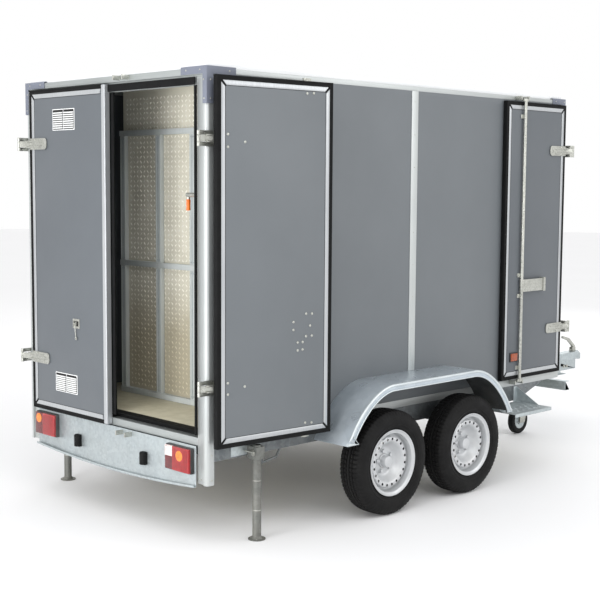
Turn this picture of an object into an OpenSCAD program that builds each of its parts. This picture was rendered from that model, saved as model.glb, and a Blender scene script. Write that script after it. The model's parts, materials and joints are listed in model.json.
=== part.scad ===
// Box trailer on two axles: walled load box with two rear doors and a side door, V drawbar,
// ball coupling, jockey wheel, tandem fenders and two swing-down rear stabilisers.
// Millimetres, +X forward to the coupling, +Y left, +Z up, origin in the coupling's ball socket.

/* [Box] */
// Outside length of the load box
box_l = 3000; // [2850:50:3600]
// Outside width of the load box
box_w = 1570; // [1300:10:1890]
// Height of the bottom rails' underside over the ground
box_z = 515; // [480:5:620]
// Height of the load box, bottom rail to top rail
box_h = 1800; // [1500:20:2160]
// Thickness of the side, front and roof panels
wall_t = 25; // [18:1:32]
// Thickness of the plywood floor
floor_t = 18; // [12:1:24]
// Height of the bottom rails
bottom_rail_h = 42; // [34:1:52]
// Height of the top rails
top_rail_h = 30; // [24:1:40]
// Width of the strip that covers the joint half way along each side
strip_w = 55; // [40:1:80]
// Distance of that strip's middle ahead of the box's middle
strip_ahead = 10; // [-60:2:80]
// Thickness of the strip
strip_t = 3; // [2:0.5:4]
// Distance that the roof panel's edge stands in from the rails
roof_in = 18; // [12:1:24]

/* [Corner caps] */
// Length of a corner cap across the back
cap_w = 190; // [120:5:240]
// Length of a corner cap along the side
cap_l = 182; // [120:2:240]
// Height of a corner cap's leg down the post
cap_h = 173; // [120:1:220]
// Thickness of a corner cap
cap_t = 3; // [2:0.5:5]
// Front corner caps along each edge, from the corner
front_cap_l = 142; // [100:2:200]
// Front corner caps down the post, from the top
front_cap_h = 112; // [80:2:180]

/* [Rear frame] */
// Width of a rear post across the back of the box
post_w = 85; // [70:1:110]
// Depth of a rear post along the side of the box
post_d = 45; // [38:1:60]
// Width of the rounded nose at the outside of a rear post
post_nose = 28; // [22:1:34]
// Depth of the rebate that the doors close into
rebate = 13; // [10:1:18]
// Height of a rear post's foot over the ground
post_foot_z = 304; // [260:2:360]
// Height of the load floor's edge strip over the sill
riser_h = 30; // [20:1:45]
// Depth of the rear sill along the box
sill_d = 80; // [70:1:100]

/* [Rear doors] */
// Thickness of a rear door
door_t = 28; // [22:1:34]
// Gap that every door keeps from the fixed pieces round it
door_gap = 6; // [5:0.5:9]
// Gap between the two rear doors' free edges
centre_gap = 6; // [5:0.5:9]
// Width that a rear door overlaps its post
door_lap = 20; // [14:1:24]
// Width of the black seal round a door
seal_w = 26; // [18:1:34]
// Width of the aluminium trim inside the seal
trim_w = 24; // [18:1:32]
// Height that the trim stands out of the door's faces
trim_t = 2; // [1:0.5:3]
// Distance of the rear hinge pins behind the box
hinge_back = 50; // [44:1:60]
// Radius of a hinge knuckle
knuckle_r = 8; // [6:0.5:10]
// Radius of a hinge pin
pin_r = 4; // [3:0.25:5]
// Clearance between a hinge pin and its knuckle
pin_clear = 0.2; // [0.15:0.05:0.4]
// Height of a hinge strap on the door
strap_h = 62; // [50:2:80]
// Length of a hinge strap on the door
strap_l = 170; // [120:5:220]
// Angle at which the right rear door stands open along the side
open_angle = 265; // [255:1:268]
// Diameter of a lock rod
rod_d = 20; // [16:1:24]
// Distance of the right rear door's lock rod from the middle of the box
rod_in = 140; // [110:5:200]
// Height of a lock's handle over its door's lower edge
handle_up = 583; // [450:5:750]
// Length of a lock's handle
handle_l = 212; // [160:2:260]
// Height of a lock's handle
handle_h = 76; // [50:2:90]

/* [Side door] */
// Width of the side door
side_door_w = 635; // [560:5:700]
// Distance of the side door's front edge from the front of the box
side_door_in = 30; // [26:1:50]
// Distance of the side door's hinge pins in front of the box
side_hinge_fwd = 36; // [30:1:44]
// Distance of the side door's hinge pins out from the side
side_hinge_out = 46; // [42:1:54]
// Distance of the side door's lock rod from the door's rear edge
side_rod_in = 168; // [140:2:220]
// Width of an amber side marker
marker_w = 76; // [60:2:90]
// Height of an amber side marker
marker_h = 58; // [40:2:70]
// Distance of a side marker from the side door's rear edge
marker_in = 78; // [60:2:82]
// Height of a side marker over the side door's lower edge
marker_up = 110; // [80:5:200]

/* [Wheels] */
// Diameter of a tyre
tyre_d = 570; // [520:5:600]
// Width of a tyre
tyre_w = 155; // [135:5:175]
// Diameter of a rim's flange
rim_d = 361; // [310:1:390]
// Width across a rim's flanges
rim_w = 134; // [114:2:150]
// Gap between the side of the box and a tyre
wheel_gap = 82.5; // [80:0.5:110]
// Distance of the rear axle in front of the folded rear door's edge
axle_clear = 320; // [310:5:400]
// Distance between the two axles
axle_gap = 675; // [630:5:760]
// Radius of a stub axle
stub_r = 20; // [16:0.5:24]
// Clearance between a stub axle and its hub
stub_clear = 0.3; // [0.2:0.05:0.5]

/* [Fenders] */
// Width that a fender reaches past its tyres
fender_over = 12.5; // [8:0.5:30]
// Height of a fender's flat top over the ground
fender_top = 715; // [690:5:760]
// Height of a fender's ends over the ground
fender_end = 430; // [400:5:470]
// Distance of a fender's ends from the nearer axle
fender_reach = 375; // [350:5:380]
// Depth of the rolled lip on a fender's outer edge
fender_lip = 38; // [28:1:50]
// Sheet thickness of the galvanised pieces
sheet_t = 3; // [2:0.5:4]

/* [Chassis and drawbar] */
// Height of the chassis rails
rail_h = 95; // [80:5:120]
// Width of the chassis rails
rail_w = 50; // [40:2:60]
// Height of a drawbar leg
leg_h = 80; // [60:5:100]
// Width of a drawbar leg
leg_w = 50; // [40:2:60]
// Number of crossmembers between the side rails
cross_n = 5; // [4:1:7]
// Width of a crossmember
cross_w = 60; // [40:5:80]
// Length of the slanted cut at the side rails' front ends
rail_slant = 276; // [100:2:320]
// Distance of the coupling's socket in front of the box
drawbar_reach = 1440; // [1300:20:1900]
// Height of the coupling's socket over the drawbar's top
coupling_up = 10; // [0:1:20]
// Radius of the coupling's ball socket
socket_r = 25.3; // [25.1:0.1:25.5]
// Length of the socket's straight wall
socket_l = 22; // [16:1:28]

/* [Side step] */
// Length of the step along the side
step_l = 375; // [300:5:450]
// Width that the step stands out from the side
step_w = 263; // [180:1:290]
// Depth of the step under the box
step_down = 103; // [98:1:140]
// Height of the step's outer lip
step_lip = 20; // [14:1:30]
// Width of the gussets at the step's ends
gusset_w = 172; // [120:2:180]

/* [Jockey wheel] */
// Distance of the jockey tube behind the coupling's socket
jockey_back = 1010; // [900:10:1100]
// Radius of the jockey's outer tube
jockey_r = 24; // [20:1:30]
// Diameter of the jockey wheel
jockey_wheel_d = 190; // [160:5:220]
// Width of the jockey wheel
jockey_wheel_w = 45; // [35:1:60]
// Distance that the jockey wheel trails its swivel
jockey_trail = 45; // [30:1:60]
// Sliding clearance of the jockey's inner tube
slide_clear = 0.4; // [0.3:0.05:0.8]

/* [Stabilisers] */
// Distance of the stabilisers from the back of the box
stab_x = 280; // [240:5:320]
// Radius of a stabiliser's tube
stab_r = 22; // [18:1:26]
// Distance of a stabiliser's middle out from the side
stab_out = 51; // [50:1:60]
// Height of the stabiliser's pivot over the side rail's underside
stab_up = 18; // [14:1:26]
// Diameter of a stabiliser's foot plate
foot_d = 88; // [70:2:90]

/* [Ramp] */
// Width of the loading ramp
ramp_w = 1000; // [800:20:1200]
// Gap between the upright ramp's top and the roof panel
ramp_gap = 20; // [10:1:120]
// Height of the lip of plate above the ramp's top bar
ramp_lip = 228; // [60:2:260]
// Distance of the ramp's foot from the back of the box
ramp_x = 430; // [300:10:500]
// Height of the ramp's frame bars
ramp_bar = 30; // [24:1:40]
// Height of the ramp's latch over the floor
latch_up = 1150; // [900:10:1250]

/* [Node] */

/* [Hidden] */
half_w = box_w / 2;
top_z = box_z + box_h;
wall_z0 = box_z + bottom_rail_h;
wall_z1 = top_z - top_rail_h;
floor_top = wall_z0 + 3;
rail_z = box_z - rail_h;
sill_top = floor_top - riser_h;
header_z = top_z - 84;
opening_half = half_w - post_w;
door_in_x = rebate - door_gap + 1;
door_out_x = door_in_x - door_t;
door_y = opening_half + door_lap;
door_z0 = box_z - 20;
door_z1 = top_z - 42;
door_h = door_z1 - door_z0;
hinge_zs = [door_z0 + 292, door_z1 - 295];
lip_w = 32;
side_door_x1 = box_l - side_door_in;
side_door_x0 = side_door_x1 - side_door_w;
side_door_z0 = box_z + 50;
side_door_z1 = top_z - 39;
side_hinge_zs = [side_door_z0 + 290, side_door_z1 - 290];
side_hinge = [box_l + side_hinge_fwd, -half_w - side_hinge_out];
side_door_y0 = -half_w - door_gap + 1;
side_door_t = 25;
steel = [0.62, 0.66, 0.68];
alu = [0.74, 0.75, 0.76];
grey = [0.47, 0.48, 0.5];
black = [0.05, 0.05, 0.055];
white = [0.92, 0.92, 0.92];
zinc = [0.8, 0.8, 0.78];
handle_z = door_z0 + handle_up;
side_rod_x = side_door_x0 + side_rod_in;
side_handle_z = side_door_z0 + handle_up;
coupling_x = box_l + drawbar_reach;
coupling_z = rail_z + coupling_up;
track = box_w + 2 * wheel_gap + tyre_w;
axle_x = half_w + axle_clear;
fender_w = wheel_gap + tyre_w + fender_over;
fender_x1 = axle_x + axle_gap + fender_reach;
step_x0 = max(fender_x1 + 10, side_door_x0 - 170);
step_x1 = step_x0 + step_l;
step_z = box_z - step_down;
wheel_z = tyre_d / 2;
leg_x0 = box_l - 700;
leg_y0 = half_w - 145;
leg_x1 = coupling_x - 320;
leg_y1 = 48;
leg_top = coupling_z - coupling_up;
leg_z = leg_top - leg_h / 2;
jockey_x = coupling_x - jockey_back;
leg_slope = (leg_y0 - leg_y1) / (leg_x1 - leg_x0);
leg_angle = atan(leg_slope);
jockey_leg_y = leg_y1 + (leg_x1 - jockey_x) * leg_slope;
jockey_y = -(jockey_leg_y - leg_w / 2 / cos(leg_angle) - jockey_r - 14);
jockey_bore = jockey_r - 3;
stab_y = half_w + stab_out;
stab_z = rail_z + stab_up;
ramp_z0 = floor_top + 2;
ramp_l = top_z - 5 - ramp_gap - ramp_lip - ramp_z0;

// Puts a piece given from the box's back, the middle and the ground into the part's frame.
module placed() {
    translate([-coupling_x, 0, -coupling_z]) children();
}

// A box between two opposite corners.
module span(a, b) {
    translate([min(a[0], b[0]), min(a[1], b[1]), min(a[2], b[2])])
        cube([abs(b[0] - a[0]), abs(b[1] - a[1]), abs(b[2] - a[2])]);
}

// The child and its copy on the other side.
module both_sides() {
    children();
    mirror([0, 1, 0]) children();
}

// A square tube along X between two ends.
module tube_x(x0, x1, y, z, w, h, t) {
    difference() {
        span([x0, y - w / 2, z - h / 2], [x1, y + w / 2, z + h / 2]);
        span([x0 - 1, y - w / 2 + t, z - h / 2 + t], [x1 + 1, y + w / 2 - t, z + h / 2 - t]);
    }
}

module chassis_frame() {
    x0 = post_d;
    x1 = side_door_x0 + 490;
    pitch = (leg_x0 - sill_d) / (cross_n - 1);
    color(steel) placed() {
        both_sides() difference() {
            span([x0, half_w - rail_w, rail_z], [x1, half_w, box_z]);
            span([x0 - 1, half_w - rail_w - 1, rail_z + 5], [x1 + 1, half_w - 5, box_z - 5]);
            translate([x1 + 1, half_w - rail_w - 1, rail_z - 1]) rotate([-90, 0, 0])
                linear_extrude(rail_w + 2) polygon([[0, 0], [0, -rail_h], [-rail_slant, 0]]);
        }
        for (i = [0 : cross_n - 1])
            span([sill_d + i * pitch, -half_w + 4, rail_z + 4],
                [sill_d + i * pitch + cross_w, half_w - 4, box_z - 4]);
        both_sides() grab_handle();
    }
}

// Bent wire loop under a side rail, for moving the trailer by hand.
module grab_handle() {
    x = stab_x + 70;
    z = rail_z;
    for (p = [[[x, z + 3], [x + 24, z - 58]], [[x + 20, z - 56], [x + 122, z - 42]],
        [[x + 118, z - 44], [x + 146, z + 3]]])
        wire_xz(p[0], p[1], half_w - 12, 6);
}

// Straight round bar between two points of an XZ plane.
module wire_xz(a, b, y, r) {
    dx = b[0] - a[0];
    dz = b[1] - a[1];
    translate([a[0], y, a[1]]) rotate([0, atan2(dx, dz), 0])
        cylinder(h = sqrt(dx * dx + dz * dz), r = r, $fn = 24);
}

module drawbar() {
    color(steel) placed() difference() {
        union() {
            both_sides() translate([leg_x0, leg_y0, leg_top - leg_h]) rotate([0, 0, -leg_angle])
                translate([0, -leg_w / 2, 0]) cube([(leg_x1 - leg_x0) / cos(leg_angle), leg_w, leg_h]);
            span([leg_x1 - 160, -35, leg_top - 75], [coupling_x - 52, 35, leg_top]);
            span([leg_x1 - 330, -110, leg_top - leg_h - 6], [leg_x1 + 20, 110, leg_top - leg_h]);
            translate([0, 0, leg_z - 30]) linear_extrude(60)
                polygon([[jockey_x - 34, jockey_y - 6], [jockey_x + 34, jockey_y - 6],
                    [jockey_x + 34, -jockey_leg_y + 14], [jockey_x - 34, -jockey_leg_y - 6]]);
            translate([jockey_x, jockey_y, leg_z - 30]) cylinder(h = 60, r = jockey_r + 7, $fn = 64);
        }
        translate([jockey_x, jockey_y, leg_z - 31]) cylinder(h = 62, r = jockey_r, $fn = 96);
        span([leg_x1 + 20, -31, leg_top - 71], [coupling_x - 51, 31, leg_top - 4]);
    }
}

module front_crossbeam() {
    color(steel) placed() difference() {
        span([box_l + 70, -half_w - 15, leg_top], [box_l + 120, half_w + 15, leg_top + 60]);
        span([box_l + 74, -half_w - 16, leg_top + 4], [box_l + 121, half_w + 16, leg_top + 56]);
    }
}

module coupling_head() {
    color(zinc) difference() {
        union() {
            span([-290, -39, -10], [-10, 39, 46]);
            translate([0, 0, -14]) cylinder(h = 40, r = 38, $fn = 96);
            translate([0, 0, 26]) cylinder(h = 24, r1 = 38, r2 = 18, $fn = 96);
        }
        translate([0, 0, -15]) cylinder(h = 1 + socket_l, r = socket_r, $fn = 128);
        translate([0, 0, socket_l - 14]) cylinder(h = 14, r1 = socket_r, r2 = 12, $fn = 128);
        span([-291, -34, -11], [-48, 34, 40]);
    }
}

// Lever over the head: two ears, a hub and a bent grip that leans back.
module coupling_handle() {
    color(zinc) union() {
        for (y = [-16, 10])
            translate([-66, y, 46]) cube([42, 6, 34]);
        rotate([90, 0, 0]) translate([0, 0, -10]) linear_extrude(20) polygon([[-18, 66], [-26, 92],
            [-108, 156], [-190, 177], [-194, 160], [-118, 136], [-52, 84], [-50, 64], [-34, 56]]);
        translate([-36, 16, 74]) rotate([90, 0, 0]) cylinder(h = 32, r = 9, $fn = 48);
    }
}

module jockey_outer_tube() {
    z0 = leg_top - leg_h - 30;
    color(zinc) placed() translate([jockey_x, jockey_y, 0]) {
        difference() {
            translate([0, 0, z0]) cylinder(h = 400, r = jockey_r, $fn = 96);
            translate([0, 0, z0 - 1]) cylinder(h = 391, r = jockey_bore, $fn = 96);
        }
        translate([0, 0, z0 + 399]) cylinder(h = 34, r = 8, $fn = 32);
        translate([0, 0, z0 + 424]) rotate([0, 0, 20]) {
            span([-10, -12, 0], [120, 12, 8]);
            translate([108, 0, 0]) cylinder(h = 90, r = 13, $fn = 40);
        }
    }
}

module jockey_inner_tube() {
    z0 = jockey_wheel_d + 24;
    color(zinc) placed() translate([jockey_x, jockey_y, z0])
        cylinder(h = 330, r = jockey_bore - slide_clear, $fn = 96);
}

module jockey_fork() {
    r = jockey_wheel_d / 2;
    w = jockey_wheel_w / 2 + 5;
    color(zinc) placed() translate([jockey_x, jockey_y, 0]) difference() {
        union() {
            span([-jockey_trail - 16, -w - 5, r - 18], [20, -w, jockey_wheel_d + 22]);
            span([-jockey_trail - 16, w, r - 18], [20, w + 5, jockey_wheel_d + 22]);
            span([-jockey_trail - 16, -w - 5, jockey_wheel_d + 14], [24, w + 5, jockey_wheel_d + 22]);
            translate([-jockey_trail, w + 5, r]) rotate([90, 0, 0])
                cylinder(h = 2 * w + 10, r = 8, $fn = 48);
        }
        both_sides() translate([-jockey_trail + 2, 0, r - 40]) rotate([90, 0, 0]) linear_extrude(w + 6)
            polygon([[30, 0], [80, 0], [80, 110], [66, 110]]);
    }
}

module jockey_wheel() {
    color(black) placed() translate([jockey_x - jockey_trail, jockey_y, jockey_wheel_d / 2])
        rotate([90, 0, 0]) rotate_extrude($fn = 96) jockey_wheel_section();
}

module jockey_wheel_section() {
    r = jockey_wheel_d / 2;
    w = jockey_wheel_w / 2;
    polygon([[8 + stub_clear, -w], [22, -w], [26, -w + 8], [r * 0.56, -w + 10], [r * 0.62, -w + 2],
        [r - 14, -w], [r - 4, -w + 7], [r, -w + 15], [r, w - 15], [r - 4, w - 7], [r - 14, w],
        [r * 0.62, w - 2], [r * 0.56, w - 10], [26, w - 8], [22, w], [8 + stub_clear, w]]);
}

// One torsion axle: cross tube under the rails, with a trailing arm and stub at each end.
module axle(x) {
    color(steel) placed() {
        bx = x + 130;
        span([bx - 30, -half_w - 8, rail_z - 60], [bx + 30, half_w + 8, rail_z]);
        both_sides() {
            translate([bx, half_w + 44, rail_z - 30]) rotate([90, 0, 0]) cylinder(h = 40, r = 34, $fn = 64);
            translate([x, half_w + 44, wheel_z]) rotate([90, 0, 0]) cylinder(h = 34, r = 34, $fn = 64);
            arm_bar([x, wheel_z], [bx, rail_z - 30], half_w + 12, 30, 46);
            translate([x, track / 2 + 15, wheel_z]) rotate([90, 0, 0])
                cylinder(h = track / 2 + 15 - half_w - 30, r = stub_r, $fn = 64);
            translate([x, track / 2 + 21, wheel_z]) rotate([90, 0, 0])
                cylinder(h = 8, r = stub_r + 9, $fn = 64);
        }
    }
}

// Flat bar from one point of an XZ plane to another.
module arm_bar(a, b, y, t, h) {
    dx = b[0] - a[0];
    dz = b[1] - a[1];
    translate([a[0], y, a[1]]) rotate([0, -atan2(dz, dx), 0])
        translate([0, 0, -h / 2]) cube([sqrt(dx * dx + dz * dz), t, h]);
}

module rear_axle() axle(axle_x);

module front_axle() axle(axle_x + axle_gap);

module floor_panel() {
    y = half_w - wall_t - 1;
    color([0.85, 0.83, 0.72]) placed()
        span([sill_d, -y, floor_top - floor_t], [box_l - wall_t - 1, y, floor_top]);
}

module left_wall() {
    color(grey) placed()
        span([post_d, half_w - wall_t, wall_z0], [box_l - post_d, half_w, wall_z1]);
}

module right_wall() {
    color(grey) placed() difference() {
        span([post_d, -half_w, wall_z0], [box_l - post_d, -half_w + wall_t, wall_z1]);
        span([side_door_x0 + seal_w, -half_w - 1, side_door_z0 + seal_w],
            [side_door_x1 - seal_w, -half_w + wall_t + 1, side_door_z1 - seal_w]);
    }
}

module front_wall() {
    color(grey) placed()
        span([box_l - wall_t, -half_w + post_d, wall_z0], [box_l, half_w - post_d, wall_z1]);
}

module roof_panel() {
    color(white) placed() roof_block();
}

module roof_block() {
    y = half_w - roof_in;
    span([roof_in, -y, top_z - 5], [box_l - roof_in, y, top_z + 20]);
}

// Strips over the joints of the side panels, from the fenders up to the top rails.
module joint_strips() {
    x = box_l / 2 + strip_ahead;
    color(alu) placed() both_sides()
        span([x - strip_w / 2, half_w, fender_top], [x + strip_w / 2, half_w + strip_t, wall_z1]);
}

// Section of the left rear post: rebate for the door, rounded nose outside.
module post_outline() {
    y0 = opening_half;
    y1 = half_w;
    difference() {
        union() {
            translate([rebate, y0]) square([post_d - rebate, post_w]);
            translate([0, y1 - post_nose]) square([post_d, post_nose]);
        }
        translate([0, y1 - 20]) difference() {
            translate([-1, 0]) square([21, 21]);
            translate([20, 0]) circle(r = 20, $fn = 64);
        }
    }
}

module rear_posts() {
    h = top_z - 46 - post_foot_z;
    color(alu) placed() both_sides() translate([0, 0, post_foot_z]) linear_extrude(h) difference() {
        post_outline();
        translate([rebate + 4, opening_half + 4])
            square([post_d - rebate - 8, post_w - post_nose - 8]);
        translate([22, half_w - post_nose + 2]) square([post_d - 26, post_nose - 6]);
    }
}

module front_posts() {
    color(alu) placed() both_sides() difference() {
        span([box_l - post_d, half_w - post_d, wall_z0], [box_l, half_w, wall_z1]);
        span([box_l - post_d - 1, half_w - post_d - 1, box_z], [box_l - wall_t, half_w - wall_t, top_z]);
        translate([box_l - 22, half_w - 22, box_z]) difference() {
            cube([23, 23, box_h]);
            translate([0, 0, -1]) cylinder(h = box_h + 2, r = 22, $fn = 96);
        }
    }
}

module top_rails() {
    color(alu) placed() {
        both_sides() span([post_d, half_w - 32, wall_z1], [box_l, half_w, top_z - 5]);
        span([box_l - 32, -half_w + 33, wall_z1], [box_l, half_w - 33, top_z - 5]);
    }
}

// Rails round the floor's edge, with a ledge that the floor lies on.
module bottom_rails() {
    ledge = floor_top - floor_t - 3;
    color(alu) placed() {
        both_sides() difference() {
            span([post_d, half_w - 32, box_z], [box_l, half_w, wall_z0]);
            span([post_d - 1, half_w - 33, ledge], [box_l + 1, half_w - wall_t, wall_z0 + 9]);
        }
        difference() {
            span([box_l - 32, -half_w + 33, box_z], [box_l, half_w - 33, wall_z0]);
            span([box_l - 33, -half_w, ledge], [box_l - wall_t, half_w, wall_z0 + 9]);
        }
    }
}

module rear_header() {
    y = half_w;
    color(alu) placed() {
        span([rebate, -opening_half, header_z], [post_d, opening_half, top_z - 46]);
        span([0, -y, top_z - 36], [post_d, y, top_z - 5]);
        span([rebate, -y + 6, top_z - 46], [post_d, y - 6, top_z - 36]);
    }
}

module rear_sill() {
    color(alu) placed() {
        span([rebate, -opening_half, box_z - 24], [sill_d, opening_half, sill_top]);
        span([sill_d - 20, -opening_half, sill_top], [sill_d, opening_half, floor_top]);
    }
}

module corner_caps() {
    r = half_w + cap_t;
    f = box_l + cap_t;
    a = front_cap_l;
    h = front_cap_h;
    color([0.5, 0.5, 0.56]) placed() both_sides() difference() {
        union() {
            span([-cap_t, half_w - cap_w, top_z - 34], [50, r, top_z + cap_t]);
            span([-cap_t, half_w - 50, top_z - 34], [cap_l, r, top_z + cap_t]);
            span([-cap_t, half_w - post_nose, top_z - cap_h], [40, r, top_z]);
            span([box_l - a, half_w - 50, top_z - 34], [f, r, top_z + cap_t]);
            span([box_l - 50, half_w - a, top_z - 34], [f, r, top_z + cap_t]);
            span([box_l - 28, half_w - 28, top_z - h], [f, r, top_z]);
        }
        span([0, half_w - cap_w - 1, top_z - cap_h - 1], [cap_l + 1, half_w, top_z]);
        span([box_l - a - 1, half_w - a - 1, top_z - h - 1], [box_l, half_w, top_z]);
        roof_block();
    }
}

module tail_panel() {
    y = opening_half;
    z0 = post_foot_z - 18;
    n = 24;
    arc = [for (i = [0 : n]) [y * (2 * i / n - 1), z0 - 30 * (1 - pow(2 * i / n - 1, 2))]];
    color(steel) placed() rotate([90, 0, 90]) {
        linear_extrude(sheet_t) polygon(concat(arc, [[y, box_z - 25], [-y, box_z - 25]]));
        translate([0, 0, -16]) linear_extrude(17)
            polygon(concat(arc, [for (i = [n : -1 : 0]) [arc[i][0], arc[i][1] + sheet_t]]));
        translate([0, 0, -16]) linear_extrude(sheet_t)
            polygon(concat(arc, [for (i = [n : -1 : 0]) [arc[i][0], arc[i][1] + 12]]));
    }
}

module tail_lights() {
    color([0.6, 0.02, 0.03]) placed() both_sides()
        span([-34, opening_half - 208, post_foot_z + 46], [0, opening_half - 12, post_foot_z + 174]);
}

module rubber_buffers() {
    color(black) placed() both_sides() translate([0, 0.42 * opening_half, post_foot_z + 28])
        difference() {
            union() {
                span([-14, -20, 0], [0, 20, 66]);
                translate([-14, 0, 0]) cylinder(h = 66, r = 20, $fn = 64);
            }
            span([0, -21, -1], [10, 21, 67]);
        }
}

// Point at share t of a curve that starts and ends on p's outer points and leans to its inner two.
function bent(p, t) = pow(1 - t, 3) * p[0] + 3 * t * pow(1 - t, 2) * p[1]
    + 3 * t * t * (1 - t) * p[2] + pow(t, 3) * p[3];

// Side view of the arch over both wheels, drawn in by d all round.
module arch(d) {
    m = axle_x + axle_gap / 2;
    a = axle_gap / 2;
    rise = fender_top - fender_end;
    side = [[a + 5, rise], [a + 150, rise], [a + fender_reach - 85, 0.58 * rise],
        [a + fender_reach, 0]];
    half = concat([for (t = [0 : 1 / 20 : 1]) bent(side, t)], [[a + fender_reach + 60, -117]]);
    back = [for (i = [len(half) - 1 : -1 : 0]) [-half[i][0], half[i][1]]];
    translate([m, fender_end]) intersection() {
        offset(r = 70, $fn = 48) offset(delta = -70 - d) polygon(concat(back, half));
        translate([-a - 500, 0]) square([2 * a + 1000, rise + 50]);
    }
}

// The left fender: bent sheet over the wheels with a rolled lip on its outer edge.
module fender() {
    y1 = half_w + fender_w;
    translate([0, y1, 0]) rotate([90, 0, 0]) {
        linear_extrude(fender_w) difference() {
            arch(0);
            arch(sheet_t);
            translate([axle_x, fender_end - 1]) square([axle_gap, 1]);
        }
        linear_extrude(sheet_t) difference() {
            arch(0);
            arch(fender_lip);
        }
        linear_extrude(14) difference() {
            arch(fender_lip - sheet_t);
            arch(fender_lip);
        }
    }
}

module left_fender() {
    color(steel) placed() fender();
}

module right_fender() {
    color(steel) placed() mirror([0, 1, 0]) fender();
}

// Step under the side door: plate with a lip, held by a gusset at each end.
module side_step() {
    y = half_w + step_w;
    color(steel) placed() {
        span([step_x0, -y, step_z - 4], [step_x1, -half_w, step_z]);
        span([step_x0, -y, step_z - step_lip], [step_x1, -y + 4, step_z]);
        for (x = [step_x0, step_x1 - sheet_t])
            translate([x, -half_w, step_z - 2]) rotate([90, 0, 90]) linear_extrude(sheet_t)
                polygon([[0, 0], [-gusset_w, 0], [0, step_down - 4]]);
        for (x = [step_x0, step_x1 - 32])
            span([x, -half_w - sheet_t, step_z - 2], [x + 32, -half_w, box_z - 6]);
    }
}

// Knuckle halves that stay on a post: two lugs round the pin with the strap's knuckle between.
module bracket_knuckles(p, z) {
    for (s = [-1, 1])
        translate([p[0], p[1], z + s * 27 - 10]) cylinder(h = 20, r = knuckle_r, $fn = 48);
    translate([p[0], p[1], z - 36]) cylinder(h = 72, r = pin_r, $fn = 48);
}

module hinge_brackets() {
    color(zinc) placed() {
        both_sides() for (z = hinge_zs) {
            bracket_knuckles([-hinge_back, half_w], z);
            for (s = [-1, 1])
                span([-hinge_back, half_w, z + s * 27 - 10],
                    [post_d - 4, half_w + 5, z + s * 27 + 10]);
            span([6, half_w, z - 37], [post_d - 4, half_w + 5, z + 37]);
        }
        for (z = side_hinge_zs) {
            bracket_knuckles(side_hinge, z);
            for (s = [-1, 1]) {
                span([box_l, side_hinge[1] - 2, z + s * 27 - 10],
                    [side_hinge[0], side_hinge[1] + 3, z + s * 27 + 10]);
                span([box_l, side_hinge[1] - 2, z + s * 27 - 10],
                    [box_l + 5, -half_w, z + s * 27 + 10]);
            }
            span([box_l, -half_w, z - 37], [box_l + 5, -half_w + 30, z + 37]);
        }
    }
}

// A door's own half of one hinge: knuckle on the pin, arm and strap on the door's face.
// Drawn with the pin at 0, the door running along +Y and its outer face at x = face.
module strap(face, reach) {
    difference() {
        union() {
            translate([0, 0, -16]) cylinder(h = 32, r = knuckle_r, $fn = 48);
            translate([0, 0, -16]) linear_extrude(32)
                polygon([[-2.5, 0], [face - 5, reach - 6], [face - 5, reach + 8], [face, reach + 8],
                    [face, reach - 2], [2.5, 0]]);
            translate([face - 5, reach, -strap_h / 2]) cube([5, strap_l - 20, strap_h]);
            translate([face - 5, reach, 20 - strap_h / 2]) cube([5, strap_l, strap_h - 40]);
            for (s = [-1, 1])
                translate([face - 5, reach + strap_l - 20, s * (strap_h / 2 - 20)]) rotate([0, 90, 0])
                    cylinder(h = 5, r = 20, $fn = 48);
        }
        translate([0, 0, -17]) cylinder(h = 34, r = pin_r + pin_clear, $fn = 48);
    }
}

module rear_straps() {
    for (z = hinge_zs)
        translate([-hinge_back, -half_w, z])
            strap(door_out_x - trim_t + hinge_back, half_w - door_y + 4);
}

// A closed rear door's panel on the right-hand side.
module rear_panel() {
    span([door_out_x, -door_y, door_z0], [door_in_x, -centre_gap / 2, door_z1]);
}

// Ring of trim on both faces, from d in to d + w in.
module door_ring(x0, x1, y0, y1, z0, z1, d, w) {
    difference() {
        span([x0, y0 + d, z0 + d], [x1, y1 - d, z1 - d]);
        span([x0 - 1, y0 + d + w, z0 + d + w], [x1 + 1, y1 - d - w, z1 - d - w]);
    }
}

module rear_trim() {
    a = [-door_y, -centre_gap / 2];
    door_ring(door_out_x - trim_t, door_out_x, a[0], a[1], door_z0, door_z1, seal_w, trim_w);
    door_ring(door_in_x, door_in_x + trim_t, a[0], a[1], door_z0, door_z1, seal_w, trim_w);
}

// Swings a closed right rear door's pieces out to where it stands.
module swung() {
    translate([-hinge_back, -half_w, 0]) rotate([0, 0, open_angle])
        translate([hinge_back, half_w, 0]) children();
}

// Lock rod on a door's outer face with its cams, guides and handle; outer face at x = 0,
// facing -X, rod on the Z axis, handle at height h and reaching towards +Y into its stay.
module lock(z0, z1, h) {
    r = rod_d / 2;
    s = -r - 6;
    l = handle_l;
    b = handle_h / 2;
    translate([s, 0, z0 - 18]) cylinder(h = z1 - z0 + 36, r = r, $fn = 48);
    for (z = [z0 + 70, h - b - 26, h + b + 26, z1 - 90])
        difference() {
            span([s, -28, z - 12], [0, 28, z + 12]);
            span([s - 1, -29, z - 13], [-5, -r + 1, z + 13]);
            span([s - 1, r - 1, z - 13], [-5, 29, z + 13]);
        }
    translate([s, 0, h - b]) cylinder(h = 2 * b, r = r + 3, $fn = 48);
    difference() {
        span([s - r - 3, 0, h - b], [s + 2, l, h + b]);
        span([s - r + 1, r + 4, h - b + 4], [s + 3, l + 1, h + b - 4]);
    }
    span([s - r - 7, l + 2, h - b - 5], [0, l + 24, h + b + 5]);
    for (z = [z0 - 14, z1 + 6]) span([s - 5, -24, z - 4], [s + 5, 24, z + 12]);
}

module left_rear_door() {
    color(grey) placed() mirror([0, 1, 0]) rear_panel();
}

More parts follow.
